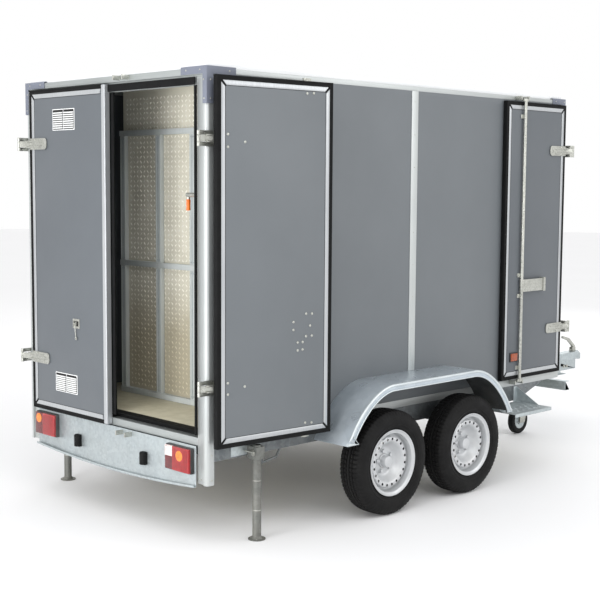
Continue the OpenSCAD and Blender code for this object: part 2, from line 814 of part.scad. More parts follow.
module left_rear_door_trim() {
    y = centre_gap / 2;
    z0 = floor_top + 10;
    z1 = header_z - 8;
    color(alu) placed() {
        mirror([0, 1, 0]) rear_trim();
        span([door_in_x, y, z0], [door_in_x + 11, y + 5, z1]);
        span([door_in_x + 7.5, y - lip_w, z0], [door_in_x + 11, y + 5, z1]);
    }
}

module left_rear_door_hinges() {
    color(zinc) placed() mirror([0, 1, 0]) rear_straps();
}

module right_rear_door() {
    color(grey) placed() swung() rear_panel();
}

module right_rear_door_trim() {
    color(alu) placed() swung() rear_trim();
}

module right_rear_door_hinges() {
    color(zinc) placed() swung() rear_straps();
}

module right_rear_door_lock() {
    color(zinc) placed() swung() translate([door_out_x, -rod_in, 0]) mirror([0, 1, 0])
        lock(door_z0, door_z1, handle_z);
}

module side_door() {
    color(grey) placed()
        span([side_door_x0, side_door_y0 - side_door_t, side_door_z0],
            [side_door_x1, side_door_y0, side_door_z1]);
}

module side_door_trim() {
    f = side_door_y0 - side_door_t;
    d = seal_w;
    e = seal_w + trim_w;
    color(alu) placed() for (y = [[f - trim_t, f], [side_door_y0, side_door_y0 + trim_t]])
        difference() {
            span([side_door_x0 + d, y[0], side_door_z0 + d], [side_door_x1 - d, y[1], side_door_z1 - d]);
            span([side_door_x0 + e, y[0] - 1, side_door_z0 + e],
                [side_door_x1 - e, y[1] + 1, side_door_z1 - e]);
        }
}

module side_door_hinges() {
    f = side_door_y0 - side_door_t;
    color(zinc) placed() for (z = side_hinge_zs)
        translate([side_hinge[0], side_hinge[1], z]) rotate([0, 0, 90])
            strap(f - trim_t - side_hinge[1], side_hinge[0] - side_door_x1 + 4);
}

module side_door_lock() {
    f = side_door_y0 - side_door_t;
    color(zinc) placed() translate([side_rod_x, f, 0]) rotate([0, 0, 90]) mirror([0, 1, 0])
        lock(side_door_z0, side_door_z1, side_handle_z);
}

// Staples that the lock rods' cams turn behind, on the header, the sill and the side's rails.
module lock_keepers() {
    color(zinc) placed() {
        for (z = [door_z1 + 12, door_z0 - 36]) for (s = [-1, 1])
            span([-46, -rod_in + s * 38 - 4, z], [0, -rod_in + s * 38 + 4, z + 24]);
        for (z = [side_door_z1 + 10, side_door_z0 - 34]) for (s = [-1, 1])
            span([side_rod_x + s * 38 - 4, -half_w - 46, z],
                [side_rod_x + s * 38 + 4, -half_w, z + 24]);
    }
}

// Amber marker whose back lies on the plane at y, standing out towards +Y.
module marker(y) {
    x = side_door_x0 + marker_in;
    z = side_door_z0 + marker_up;
    color([0.9, 0.4, 0.05]) span([x, y, z], [x + marker_w, y + 14, z + marker_h]);
}

module left_side_marker() placed() marker(half_w);

module right_side_marker() placed() mirror([0, 1, 0]) marker(side_door_t - side_door_y0);

module ramp_frame() {
    b = ramp_bar;
    w = ramp_w / 2;
    color(alu) placed() translate([ramp_x, 0, ramp_z0]) {
        for (z = [0, ramp_l / 2 - b / 2, ramp_l - b])
            span([0, -w, z], [b, w, z + b]);
        for (y = [-w + 4, -w / 3 - 2, w / 3 - 40, w - 46])
            for (z = [b, ramp_l / 2 + b / 2])
                span([4, y, z], [b - 2, y + 42, z + ramp_l / 2 - 1.5 * b]);
    }
}

module ramp_plate() {
    w = ramp_w / 2;
    color(alu) placed() translate([ramp_x + ramp_bar, 0, ramp_z0])
        span([0, -w, 0], [4, w, ramp_l + ramp_lip]);
}

module ramp_latch() {
    l = half_w - wall_t - ramp_w / 2 - 45;
    color(zinc) placed() translate([post_d + 32, -half_w + wall_t, floor_top + latch_up]) {
        span([-24, 0, -24], [24, 4, 24]);
        rotate([-90, 0, 0]) cylinder(h = l, r = 11, $fn = 48);
        translate([0, l - 9, -54]) cylinder(h = 56, r = 8, $fn = 48);
    }
}

module stabiliser_brackets() {
    color(steel) placed() both_sides() {
        span([stab_x - 130, half_w, rail_z + 8], [stab_x + 26, half_w + 6, box_z - 12]);
        translate([stab_x, half_w + 5, stab_z]) rotate([-90, 0, 0]) cylinder(h = 20, r = 9, $fn = 48);
    }
}

// Left stabiliser: tube with a foot plate, in a clamp that turns on the bracket's pin.
module stabiliser() {
    color(steel) placed() difference() {
        union() {
            translate([stab_x, stab_y, 6]) cylinder(h = box_z - 36 - 6, r = stab_r, $fn = 64);
            translate([stab_x, stab_y, 0]) cylinder(h = 5, r = foot_d / 2, $fn = 64);
            translate([stab_x, stab_y, 4]) cylinder(h = 14, r1 = foot_d / 2 - 10, r2 = stab_r, $fn = 64);
            span([stab_x - 27, half_w + 7, stab_z - 30], [stab_x + 27, stab_y + 27, stab_z + 34]);
        }
        translate([stab_x, half_w + 6, stab_z]) rotate([-90, 0, 0])
            cylinder(h = 20, r = 9 + stub_clear, $fn = 48);
    }
}

module left_stabiliser() stabiliser();

module right_stabiliser() mirror([0, 1, 0]) stabiliser();

// Tyre and rim of one wheel, turned about Y, outer side towards +Y.
module tyre_section() {
    r = tyre_d / 2;
    w = tyre_w / 2;
    b = rim_w / 2;
    s = rim_d / 2 - 17;
    polygon([[s, -b + 7], [s + 13, -b + 6], [s + 24, -b - 2], [r * 0.8, -w], [r - 32, -w + 3],
        [r - 14, -w + 12], [r - 4, -w + 26], [r, -w + 44], [r, w - 44], [r - 4, w - 26],
        [r - 14, w - 12], [r - 32, w - 3], [r * 0.8, w], [s + 24, b + 2], [s + 13, b - 6],
        [s, b - 7]]);
}

module rim_section() {
    r = rim_d / 2;
    b = rim_w / 2;
    s = r - 17.4;
    hub = stub_r + stub_clear;
    polygon([[r, -b], [s, -b + 7], [s, -b + 32], [s - 20, -b + 44], [s - 20, b - 52], [s, b - 40],
        [s, b - 7], [r, b], [r - 3, b + 3], [s - 4.5, b - 4], [s - 4.5, b - 42], [s - 24, b - 54],
        [s - 25, b - 27], [s - 29, b - 22], [s - 52, b - 25], [s - 66, b - 44], [70, b - 72],
        [62, b - 76], [hub, b - 76], [hub, -95], [52, -95], [52, b - 82], [64, b - 82],
        [74, b - 78], [s - 68, b - 52], [s - 54, b - 34], [s - 32, b - 29], [s - 30, b - 33],
        [s - 29, b - 62], [s - 24.5, b - 66], [s - 24.5, -b + 46], [s - 4.5, -b + 34],
        [s - 4.5, -b + 4], [r - 3, -b - 3]]);
}

module wheel_at(x, side) {
    placed() translate([x, side * track / 2, wheel_z]) mirror([0, side < 0 ? 1 : 0, 0])
        rotate([-90, 0, 0]) children();
}

module tyre(x, side) {
    color(black) wheel_at(x, side) rotate_extrude($fn = 128) tyre_section();
}

module rim(x, side) {
    color([0.75, 0.76, 0.78]) wheel_at(x, side) rotate_extrude($fn = 128) rim_section();
}

module rear_left_tyre() tyre(axle_x, 1);

module rear_left_rim() rim(axle_x, 1);

module rear_right_tyre() tyre(axle_x, -1);

module rear_right_rim() rim(axle_x, -1);

module front_left_tyre() tyre(axle_x + axle_gap, 1);

module front_left_rim() rim(axle_x + axle_gap, 1);

module front_right_tyre() tyre(axle_x + axle_gap, -1);

module front_right_rim() rim(axle_x + axle_gap, -1);

chassis_frame();
drawbar();
front_crossbeam();
coupling_head();
coupling_handle();
jockey_outer_tube();
jockey_inner_tube();
jockey_fork();
jockey_wheel();
rear_axle();
front_axle();
floor_panel();
left_wall();
right_wall();
front_wall();
roof_panel();
joint_strips();
rear_posts();
front_posts();
top_rails();
bottom_rails();
rear_header();
rear_sill();
corner_caps();
tail_panel();
tail_lights();
rubber_buffers();
left_fender();
right_fender();
side_step();
hinge_brackets();
lock_keepers();
left_side_marker();
ramp_frame();
ramp_plate();
ramp_latch();
stabiliser_brackets();
left_stabiliser();
right_stabiliser();
left_rear_door();
left_rear_door_trim();
left_rear_door_hinges();
right_rear_door();
right_rear_door_trim();
right_rear_door_hinges();
right_rear_door_lock();
side_door();
side_door_trim();
side_door_hinges();
side_door_lock();
right_side_marker();
rear_left_tyre();
rear_left_rim();
rear_right_tyre();
rear_right_rim();
front_left_tyre();
front_left_rim();
front_right_tyre();
front_right_rim();
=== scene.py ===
import bpy
import bmesh
import json
import math
from mathutils import Matrix, Vector


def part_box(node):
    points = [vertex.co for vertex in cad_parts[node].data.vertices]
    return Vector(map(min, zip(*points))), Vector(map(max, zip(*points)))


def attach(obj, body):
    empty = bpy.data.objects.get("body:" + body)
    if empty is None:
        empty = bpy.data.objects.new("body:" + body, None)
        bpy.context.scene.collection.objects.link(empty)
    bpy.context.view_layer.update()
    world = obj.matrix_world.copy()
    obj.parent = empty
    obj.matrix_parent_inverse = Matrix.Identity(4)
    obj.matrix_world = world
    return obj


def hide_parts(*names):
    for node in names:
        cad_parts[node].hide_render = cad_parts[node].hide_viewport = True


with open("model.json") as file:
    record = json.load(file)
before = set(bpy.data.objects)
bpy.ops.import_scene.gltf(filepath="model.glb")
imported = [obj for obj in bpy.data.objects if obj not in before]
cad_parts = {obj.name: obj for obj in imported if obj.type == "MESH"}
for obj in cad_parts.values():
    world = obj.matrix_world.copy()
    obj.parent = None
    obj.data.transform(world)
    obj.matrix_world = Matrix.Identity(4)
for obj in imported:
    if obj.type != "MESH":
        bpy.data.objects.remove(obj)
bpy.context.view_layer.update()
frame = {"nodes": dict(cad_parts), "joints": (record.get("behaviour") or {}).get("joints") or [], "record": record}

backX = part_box("rear_posts")[0].x  # back of the load box
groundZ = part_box("rear_left_tyre")[0].z  # what the wheels stand on
joints = {j["name"]: j for j in frame["joints"]}


# placing: millimetres from the box's back, the middle and the ground
def at(x, y, z):
    return Vector((backX + x / 1000, y / 1000, groundZ + z / 1000))


def inMm(point):
    return Vector(((point.x - backX) * 1000, point.y * 1000, (point.z - groundZ) * 1000))


def span(node):
    low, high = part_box(node)
    return inMm(low), inMm(high)


# shader helpers
def addNode(tree, kind, **values):
    node = tree.nodes.new("ShaderNode" + kind)
    for key, value in values.items():
        setattr(node, key, value)
    return node


def wire(tree, source, target):
    tree.links.new(source, target)


def setInputs(node, **values):
    for key, value in values.items():
        node.inputs[key.replace("_", " ")].default_value = value


def newGroup(name, inputs, outputs):
    tree = bpy.data.node_groups.new(name, "ShaderNodeTree")
    for label, kind, value in inputs:
        socket = tree.interface.new_socket(label, in_out="INPUT", socket_type="NodeSocket" + kind)
        socket.default_value = value
    for label, kind in outputs:
        tree.interface.new_socket(label, in_out="OUTPUT", socket_type="NodeSocket" + kind)
    return tree, tree.nodes.new("NodeGroupInput"), tree.nodes.new("NodeGroupOutput")


def mixColour(tree, factor, first, second):
    mix = addNode(tree, "Mix", data_type="RGBA")
    for socket, value in ((mix.inputs[0], factor), (mix.inputs[6], first), (mix.inputs[7], second)):
        if isinstance(value, (tuple, float)):
            socket.default_value = value
        else:
            wire(tree, value, socket)
    return mix.outputs[2]


def mapRange(tree, value, low, high, outLow, outHigh):
    node = addNode(tree, "MapRange")
    wire(tree, value, node.inputs[0])
    for index, number in zip((1, 2, 3, 4), (low, high, outLow, outHigh)):
        if isinstance(number, (float, int)):
            node.inputs[index].default_value = number
        else:
            wire(tree, number, node.inputs[index])
    return node.outputs[0]


def noise(tree, vector, scale, detail=3.0, rough=0.55):
    node = addNode(tree, "TexNoise")
    wire(tree, vector, node.inputs["Vector"])
    if isinstance(scale, (float, int)):
        node.inputs["Scale"].default_value = scale
    else:
        wire(tree, scale, node.inputs["Scale"])
    node.inputs["Detail"].default_value = detail
    node.inputs["Roughness"].default_value = rough
    return node.outputs["Fac"]


def mathNode(tree, operation, first, second):
    node = addNode(tree, "Math", operation=operation)
    for socket, value in ((node.inputs[0], first), (node.inputs[1], second)):
        if isinstance(value, (float, int)):
            socket.default_value = value
        else:
            wire(tree, value, socket)
    return node.outputs[0]


# effects that several finishes share
def makeMottle():
    tree, start, end = newGroup("clouding", [
        ("Vector", "Vector", (0, 0, 0)), ("Color", "Color", (0.5, 0.5, 0.5, 1)),
        ("Second", "Color", (0.4, 0.4, 0.4, 1)), ("Scale", "Float", 4.0),
        ("Grain", "Float", 300.0), ("Rough Low", "Float", 0.4), ("Rough High", "Float", 0.5)],
        [("Color", "Color"), ("Roughness", "Float"), ("Height", "Float")])
    wide = noise(tree, start.outputs["Vector"], start.outputs["Scale"], 4.0)
    fine = noise(tree, start.outputs["Vector"], start.outputs["Grain"], 2.0)
    spread = mapRange(tree, wide, 0.3, 0.7, 0.0, 1.0)
    wire(tree, mixColour(tree, spread, start.outputs["Color"], start.outputs["Second"]),
         end.inputs["Color"])
    both = mathNode(tree, "ADD", mathNode(tree, "MULTIPLY", wide, 0.6),
                    mathNode(tree, "MULTIPLY", fine, 0.4))
    wire(tree, mapRange(tree, both, 0.3, 0.7, start.outputs["Rough Low"],
                        start.outputs["Rough High"]), end.inputs["Roughness"])
    wire(tree, fine, end.inputs["Height"])
    return tree


def makeSpangle():
    tree, start, end = newGroup("spangle", [
        ("Vector", "Vector", (0, 0, 0)), ("Color", "Color", (0.5, 0.5, 0.5, 1)),
        ("Second", "Color", (0.4, 0.4, 0.4, 1)), ("Scale", "Float", 60.0),
        ("Rough Low", "Float", 0.3), ("Rough High", "Float", 0.5)],
        [("Color", "Color"), ("Roughness", "Float"), ("Height", "Float")])
    cells = addNode(tree, "TexVoronoi")
    wire(tree, start.outputs["Vector"], cells.inputs["Vector"])
    wire(tree, start.outputs["Scale"], cells.inputs["Scale"])
    shade = addNode(tree, "SeparateColor")
    wire(tree, cells.outputs["Color"], shade.inputs[0])
    wide = noise(tree, start.outputs["Vector"], 5.0, 3.0)
    mixed = mathNode(tree, "ADD", mathNode(tree, "MULTIPLY", shade.outputs[0], 0.45),
                     mathNode(tree, "MULTIPLY", wide, 0.8))
    wire(tree, mixColour(tree, mapRange(tree, mixed, 0.3, 1.0, 0.0, 1.0), start.outputs["Color"],
                         start.outputs["Second"]), end.inputs["Color"])
    wire(tree, mapRange(tree, shade.outputs[1], 0.0, 1.0, start.outputs["Rough Low"],
                        start.outputs["Rough High"]), end.inputs["Roughness"])
    wire(tree, noise(tree, start.outputs["Vector"], 40.0, 2.0), end.inputs["Height"])
    return tree


def makeStreaks():
    tree, start, end = newGroup("drawnLines", [
        ("Vector", "Vector", (0, 0, 0)), ("Stretch", "Vector", (1, 1, 1)),
        ("Color", "Color", (0.5, 0.5, 0.5, 1)), ("Second", "Color", (0.4, 0.4, 0.4, 1)),
        ("Rough Low", "Float", 0.3), ("Rough High", "Float", 0.5)],
        [("Color", "Color"), ("Roughness", "Float"), ("Height", "Float")])
    scaled = addNode(tree, "VectorMath", operation="MULTIPLY")
    wire(tree, start.outputs["Vector"], scaled.inputs[0])
    wire(tree, start.outputs["Stretch"], scaled.inputs[1])
    lines = noise(tree, scaled.outputs[0], 1.0, 4.0, 0.7)
    wide = noise(tree, start.outputs["Vector"], 3.0, 2.0)
    mixed = mathNode(tree, "ADD", mathNode(tree, "MULTIPLY", lines, 0.6),
                     mathNode(tree, "MULTIPLY", wide, 0.4))
    wire(tree, mixColour(tree, mapRange(tree, mixed, 0.35, 0.65, 0.0, 1.0),
                         start.outputs["Color"], start.outputs["Second"]), end.inputs["Color"])
    wire(tree, mapRange(tree, lines, 0.3, 0.7, start.outputs["Rough Low"],
                        start.outputs["Rough High"]), end.inputs["Roughness"])
    wire(tree, lines, end.inputs["Height"])
    return tree


def makeDust():
    tree, start, end = newGroup("roadDust", [
        ("Position", "Vector", (0, 0, 0)), ("Color", "Color", (0.5, 0.5, 0.5, 1)),
        ("Dust", "Color", (0.4, 0.38, 0.34, 1)), ("Top", "Float", 0.6), ("Amount", "Float", 0.3),
        ("Roughness", "Float", 0.5)],
        [("Color", "Color"), ("Roughness", "Float")])
    parts = addNode(tree, "SeparateXYZ")
    wire(tree, start.outputs["Position"], parts.inputs[0])
    fade = mapRange(tree, parts.outputs[2], groundZ, start.outputs["Top"], 1.0, 0.0)
    patches = mapRange(tree, noise(tree, start.outputs["Position"], 9.0, 5.0, 0.65),
                       0.35, 0.65, 0.2, 1.0)
    mask = mathNode(tree, "MULTIPLY", mathNode(tree, "MULTIPLY", fade, patches),
                    start.outputs["Amount"])
    wire(tree, mixColour(tree, mask, start.outputs["Color"], start.outputs["Dust"]),
         end.inputs["Color"])
    rough = addNode(tree, "Mix", data_type="FLOAT")
    wire(tree, mask, rough.inputs[0])
    wire(tree, start.outputs["Roughness"], rough.inputs[2])
    rough.inputs[3].default_value = 0.9
    wire(tree, rough.outputs[0], end.inputs["Roughness"])
    return tree


def makePaintedReflection():
    # painted reflection: a pair of tones high up, and below them a darker Low tone that stands for the brown
    # ground reflected in the lower half of the ramp plate, with a soft change between
    tree, start, end = newGroup("groundReflectionTones", [
        ("Vector", "Vector", (0, 0, 0)), ("Color", "Color", (0.5, 0.5, 0.5, 1)),
        ("Second", "Color", (0.4, 0.4, 0.4, 1)), ("Low", "Color", (0.3, 0.3, 0.3, 1)),
        ("Pale From", "Float", 1.3), ("Dark From", "Float", 1.0), ("Scale", "Float", 9.0),
        ("Rough Low", "Float", 0.3), ("Rough High", "Float", 0.5)],
        [("Color", "Color"), ("Roughness", "Float"), ("Height", "Float")])
    wide = noise(tree, start.outputs["Vector"], start.outputs["Scale"], 3.0)
    parts = addNode(tree, "SeparateXYZ")
    wire(tree, start.outputs["Vector"], parts.inputs[0])
    wavy = mathNode(tree, "ADD", parts.outputs[2], mathNode(tree, "MULTIPLY", wide, 0.25))
    pale = mixColour(tree, mapRange(tree, wide, 0.3, 0.7, 0.0, 1.0), start.outputs["Color"],
                     start.outputs["Second"])
    # painted reflection: between Pale From and Dark From the colour turns to the Low tone of the reflected ground
    fade = mapRange(tree, wavy, start.outputs["Dark From"], start.outputs["Pale From"], 0.0, 1.0)
    wire(tree, mixColour(tree, fade, start.outputs["Low"], pale), end.inputs["Color"])
    wire(tree, mapRange(tree, wide, 0.3, 0.7, start.outputs["Rough Low"],
                        start.outputs["Rough High"]), end.inputs["Roughness"])
    wire(tree, noise(tree, start.outputs["Vector"], 500.0, 2.0), end.inputs["Height"])
    return tree


effects = {"upright": makePaintedReflection(), "mottle": makeMottle(), "spangle": makeSpangle(),
           "streaks": makeStreaks()}
dustEffect = makeDust()
relief = {"strength": 3.0, "reach": 0.0006}  # how far every finish's bump goes
dustTop = 0.9  # metres above the ground where road dust fades out


def rgb(red, green, blue):
    # screen values to linear light
    def linear(value):
        value /= 255
        return value / 12.92 if value <= 0.04045 else ((value + 0.055) / 1.055) ** 2.4
    return (linear(red), linear(green), linear(blue), 1.0)


finishes = {
    "panelGrey": dict(effect="mottle", colour=rgb(104, 109, 113), second=rgb(100, 105, 109),
                      rough=(0.42, 0.52), scale=2.2, grain=700.0, bump=0.03, dust=0.1),
    "roofWhite": dict(effect="mottle", colour=rgb(236, 237, 238), second=rgb(226, 228, 230),
                      rough=(0.3, 0.42), scale=1.5, grain=400.0, bump=0.02, dust=0.0),
    "aluminium": dict(effect="streaks", colour=rgb(196, 200, 199), second=rgb(182, 186, 186),
                      rough=(0.34, 0.5), stretch=(260.0, 260.0, 1.5), bump=0.02, metallic=0.6,
                      dust=0.12),
    "aluminiumAlong": dict(effect="streaks", colour=rgb(192, 196, 195),
                           second=rgb(178, 182, 182), rough=(0.34, 0.5),
                           stretch=(1.5, 260.0, 260.0), bump=0.02, metallic=0.6, dust=0.12),
    "aluminiumAcross": dict(effect="streaks", colour=rgb(174, 179, 178),
                            second=rgb(160, 165, 165), rough=(0.34, 0.5),
                            stretch=(260.0, 1.5, 260.0), bump=0.02, metallic=0.6, dust=0.12),
    "brightTrim": dict(effect="streaks", colour=rgb(190, 193, 195), second=rgb(174, 177, 180),
                       rough=(0.3, 0.42), stretch=(220.0, 220.0, 2.0), bump=0.015, metallic=0.6,
                       dust=0.08),
    "galvanised": dict(effect="spangle", colour=rgb(190, 199, 201), second=rgb(168, 177, 181),
                       rough=(0.32, 0.5), scale=70.0, bump=0.03, metallic=0.7, dust=0.22),
    "galvanisedDull": dict(effect="spangle", colour=rgb(116, 119, 116),
                           second=rgb(88, 91, 89), rough=(0.4, 0.6), scale=55.0, bump=0.05,
                           metallic=0.65, dust=0.4),
    "fenderSteel": dict(effect="spangle", colour=rgb(196, 205, 212), second=rgb(180, 190, 198),
                        rough=(0.26, 0.38), scale=24.0, bump=0.015, metallic=0.6, dust=0.1),
    # painted highlight: a lighter copy of the fender steel for the bright band along the rolled lip
    "fenderEdge": dict(effect="mottle", colour=rgb(214, 221, 223), second=rgb(200, 208, 211),
                       rough=(0.26, 0.36), scale=12.0, grain=500.0, bump=0.02, metallic=0.6,
                       dust=0.1),
    "zinc": dict(effect="spangle", colour=rgb(196, 197, 190), second=rgb(160, 161, 154),
                 rough=(0.26, 0.42), scale=120.0, bump=0.04, metallic=0.8, dust=0.15),
    "capPlastic": dict(effect="mottle", colour=rgb(116, 121, 134), second=rgb(108, 113, 126),
                       rough=(0.5, 0.62), scale=8.0, grain=900.0, bump=0.05, dust=0.05),
    "sealRubber": dict(effect="mottle", colour=rgb(9, 10, 11), second=rgb(6, 7, 8),
                       rough=(0.58, 0.76), scale=14.0, grain=500.0, bump=0.06, specular=0.2,
                       dust=0.01),
    "blackPlastic": dict(effect="mottle", colour=rgb(30, 30, 32), second=rgb(40, 40, 42),
                         rough=(0.38, 0.52), scale=20.0, grain=900.0, bump=0.06, dust=0.2),
    "tyreRubber": dict(effect="mottle", colour=rgb(13, 13, 14), second=rgb(8, 8, 9),
                       rough=(0.62, 0.8), scale=22.0, grain=420.0, bump=0.1, specular=0.22,
                       dust=0.015),
    "rimSilver": dict(effect="mottle", colour=rgb(206, 208, 210), second=rgb(194, 197, 200),
                      rough=(0.3, 0.42), scale=14.0, grain=900.0, bump=0.02, metallic=0.45,
                      dust=0.22),
    "floorCream": dict(effect="mottle", colour=rgb(206, 200, 178), second=rgb(190, 184, 160),
                       rough=(0.5, 0.65), scale=16.0, grain=220.0, bump=0.08, dust=0.0),
    # painted reflection: in both tread finishes the low colour, below the heights in span, stands for the ground
    # reflected in the lower half of the ramp plate
    "treadPlate": dict(effect="upright", colour=rgb(226, 222, 206), second=rgb(212, 208, 191),
                       low=rgb(186, 178, 156), span=(1.35, 1.05), rough=(0.3, 0.44), scale=9.0,
                       bump=0.03, metallic=0.05, dust=0.0),
    "treadRaised": dict(effect="upright", colour=rgb(255, 253, 244), second=rgb(248, 244, 232),
                        low=rgb(212, 204, 182), span=(1.35, 1.05), rough=(0.24, 0.36), scale=9.0,
                        bump=0.03, metallic=0.15, dust=0.0),
    "rampBar": dict(effect="streaks", colour=rgb(208, 213, 212), second=rgb(192, 198, 197),
                    rough=(0.3, 0.45), stretch=(260.0, 260.0, 1.5), bump=0.02, metallic=0.1,
                    dust=0.0),
    "doorGrey": dict(effect="mottle", colour=rgb(93, 98, 103), second=rgb(89, 94, 99),
                     rough=(0.42, 0.52), scale=2.2, grain=700.0, bump=0.03, dust=0.1),
    "ventWhite": dict(effect="mottle", colour=rgb(238, 239, 238), second=rgb(228, 230, 230),
                      rough=(0.35, 0.45), scale=20.0, grain=600.0, bump=0.03, dust=0.04),
    # painted shade: a near-black finish put in vent openings, slots and recesses where there is only shade
    "paintedGapShade": dict(effect="mottle", colour=rgb(20, 20, 21), second=rgb(14, 14, 15),
                    rough=(0.7, 0.85), scale=10.0, grain=300.0, bump=0.02, dust=0.0),
    "orangeGrip": dict(effect="mottle", colour=rgb(232, 118, 30), second=rgb(214, 98, 20),
                       rough=(0.34, 0.46), scale=30.0, grain=700.0, bump=0.03, dust=0.05),
    "redLens": dict(effect="mottle", colour=rgb(168, 8, 18), second=rgb(138, 4, 12),
                    rough=(0.1, 0.18), scale=60.0, grain=300.0, bump=0.05, coat=0.6,
                    dust=0.08),
    "darkRedLens": dict(effect="mottle", colour=rgb(104, 6, 16), second=rgb(78, 4, 12),
                        rough=(0.1, 0.2), scale=60.0, grain=300.0, bump=0.05, coat=0.6,
                        dust=0.08),
    "amberLens": dict(effect="mottle", colour=rgb(246, 142, 32), second=rgb(226, 104, 16),
                      rough=(0.1, 0.2), scale=80.0, grain=300.0, bump=0.06, coat=0.6,
                      dust=0.05),
    "markerAmber": dict(effect="mottle", colour=rgb(168, 72, 10), second=rgb(130, 50, 6),
                        rough=(0.14, 0.24), scale=80.0, grain=300.0, bump=0.06, coat=0.4,
                        dust=0.05),
    # painted shade: a darker copy of the galvanised steel that stands for the shade under the box and behind the
    # wheels
    "chassisSteel": dict(effect="spangle", colour=rgb(118, 124, 127), second=rgb(88, 94, 98),
                         rough=(0.42, 0.62), scale=55.0, bump=0.05, metallic=0.65, dust=0.3),
    # painted shade: a dark finish for the rim's back seen through its holes and for the fender's inner faces,
    # where it is partly road dirt as well
    "paintedArchShade": dict(effect="mottle", colour=rgb(46, 50, 52), second=rgb(30, 33, 35),
                     rough=(0.5, 0.7), scale=14.0, grain=300.0, bump=0.06, dust=0.15),
    "clearLens": dict(effect="mottle", colour=rgb(232, 216, 212), second=rgb(206, 186, 184),
                      rough=(0.12, 0.2), scale=90.0, grain=300.0, bump=0.08, coat=0.6,
                      dust=0.05),
}
materials = {}


def finish(name):
    if name in materials:
        return materials[name]
    look = finishes[name]
    material = bpy.data.materials.new(name)
    material.use_nodes = True
    tree = material.node_tree
    shader = tree.nodes["Principled BSDF"]
    place = addNode(tree, "TexCoord").outputs["Object"]
    effect = addNode(tree, "Group")
    effect.node_tree = effects[look["effect"]]
    wire(tree, place, effect.inputs["Vector"])
    setInputs(effect, Color=look["colour"], Second=look["second"], Rough_Low=look["rough"][0],
              Rough_High=look["rough"][1])
    if look["effect"] == "streaks":
        effect.inputs["Stretch"].default_value = look["stretch"]
    else:
        effect.inputs["Scale"].default_value = look["scale"]
    # painted reflection: the low colour of the reflected ground, and the heights where it fades in
    if look["effect"] == "upright":
        effect.inputs["Low"].default_value = look["low"]
        effect.inputs["Pale From"].default_value = groundZ + look["span"][0]
        effect.inputs["Dark From"].default_value = groundZ + look["span"][1]
    if look["effect"] == "mottle":
        effect.inputs["Grain"].default_value = look["grain"]
    colour, rough = effect.outputs["Color"], effect.outputs["Roughness"]
    if look.get("dust"):
        dust = addNode(tree, "Group")
        dust.node_tree = dustEffect
        wire(tree, place, dust.inputs["Position"])
        setInputs(dust, Amount=look["dust"], Top=groundZ + dustTop)
        wire(tree, colour, dust.inputs["Color"])
        wire(tree, rough, dust.inputs["Roughness"])
        colour, rough = dust.outputs["Color"], dust.outputs["Roughness"]
    wire(tree, colour, shader.inputs["Base Color"])
    wire(tree, rough, shader.inputs["Roughness"])
    bump = addNode(tree, "Bump")
    bump.inputs["Strength"].default_value = look["bump"] * relief["strength"]
    bump.inputs["Distance"].default_value = relief["reach"]
    wire(tree, effect.outputs["Height"], bump.inputs["Height"])
    wire(tree, bump.outputs[0], shader.inputs["Normal"])
    shader.inputs["Metallic"].default_value = look.get("metallic", 0.0)
    shader.inputs["Coat Weight"].default_value = look.get("coat", 0.0)
    shader.inputs["Coat Roughness"].default_value = 0.06
    shader.inputs["Specular IOR Level"].default_value = look.get("specular", 0.5)
    materials[name] = material
    return material


# mesh helpers
def makePiece(name, mesh, finishNames, body, nodes=(), smooth=35):
    if isinstance(finishNames, str):
        finishNames = [finishNames]
    bmesh.ops.recalc_face_normals(mesh, faces=mesh.faces[:])
    data = bpy.data.meshes.new(name)
    mesh.to_mesh(data)
    mesh.free()
    piece = bpy.data.objects.new(name, data)
    bpy.context.scene.collection.objects.link(piece)
    for finishName in finishNames:
        data.materials.append(finish(finishName))
    if smooth:
        data.shade_smooth()
        data.set_sharp_from_angle(angle=math.radians(smooth))
    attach(piece, body)
    if nodes:
        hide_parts(*nodes)


def meshOf(node):
    # a clean copy of a frame part, with flat faces joined up
    mesh = bmesh.new()
    mesh.from_mesh(frame["nodes"][node].data)
    bmesh.ops.remove_doubles(mesh, verts=mesh.verts[:], dist=1e-5)
    bmesh.ops.dissolve_limit(mesh, angle_limit=math.radians(0.8), verts=mesh.verts[:],
                             edges=mesh.edges[:])
    return mesh


def bevelEdges(mesh, width):
    edges = [e for e in mesh.edges
             if e.is_manifold and e.calc_face_angle(0) > math.radians(30)]
    bmesh.ops.bevel(mesh, geom=edges, offset=width / 1000, segments=2, profile=0.6,
                    affect="EDGES", clamp_overlap=True)


bodyOf = {}
for bodyName, nodeNames in frame["record"]["behaviour"]["bodies"].items():
    for nodeName in nodeNames:
        bodyOf[nodeName] = bodyName


def softened(node, finishName, width):
    mesh = meshOf(node)
    bevelEdges(mesh, width)
    makePiece(node + "_shown", mesh, finishName, bodyOf[node], (node,))


def addBlock(mesh, low, high, bevel=0.0, segments=2, index=0):
    low, high = at(*low), at(*high)
    made = bmesh.ops.create_cube(mesh, size=1.0)["verts"]
    bmesh.ops.scale(mesh, vec=high - low, verts=made)
    bmesh.ops.translate(mesh, vec=(low + high) / 2, verts=made)
    if bevel:
        edges = list({e for v in made for e in v.link_edges
                      if e.is_manifold and e.calc_face_angle(0) > 0.5})
        result = bmesh.ops.bevel(mesh, geom=edges, offset=bevel / 1000, segments=segments,
                                 profile=0.6, affect="EDGES", clamp_overlap=True)
        made = list({v for f in result["faces"] for v in f.verts} |
                    {v for v in made if v.is_valid})
    for face in {f for v in made for f in v.link_faces}:
        face.material_index = index
    return made


def bridge(mesh, first, second, index=0):
    # a band of faces between two closed rows of points
    for number in range(len(first)):
        following = (number + 1) % len(first)
        mesh.faces.new([first[number], first[following], second[following],
                        second[number]]).material_index = index


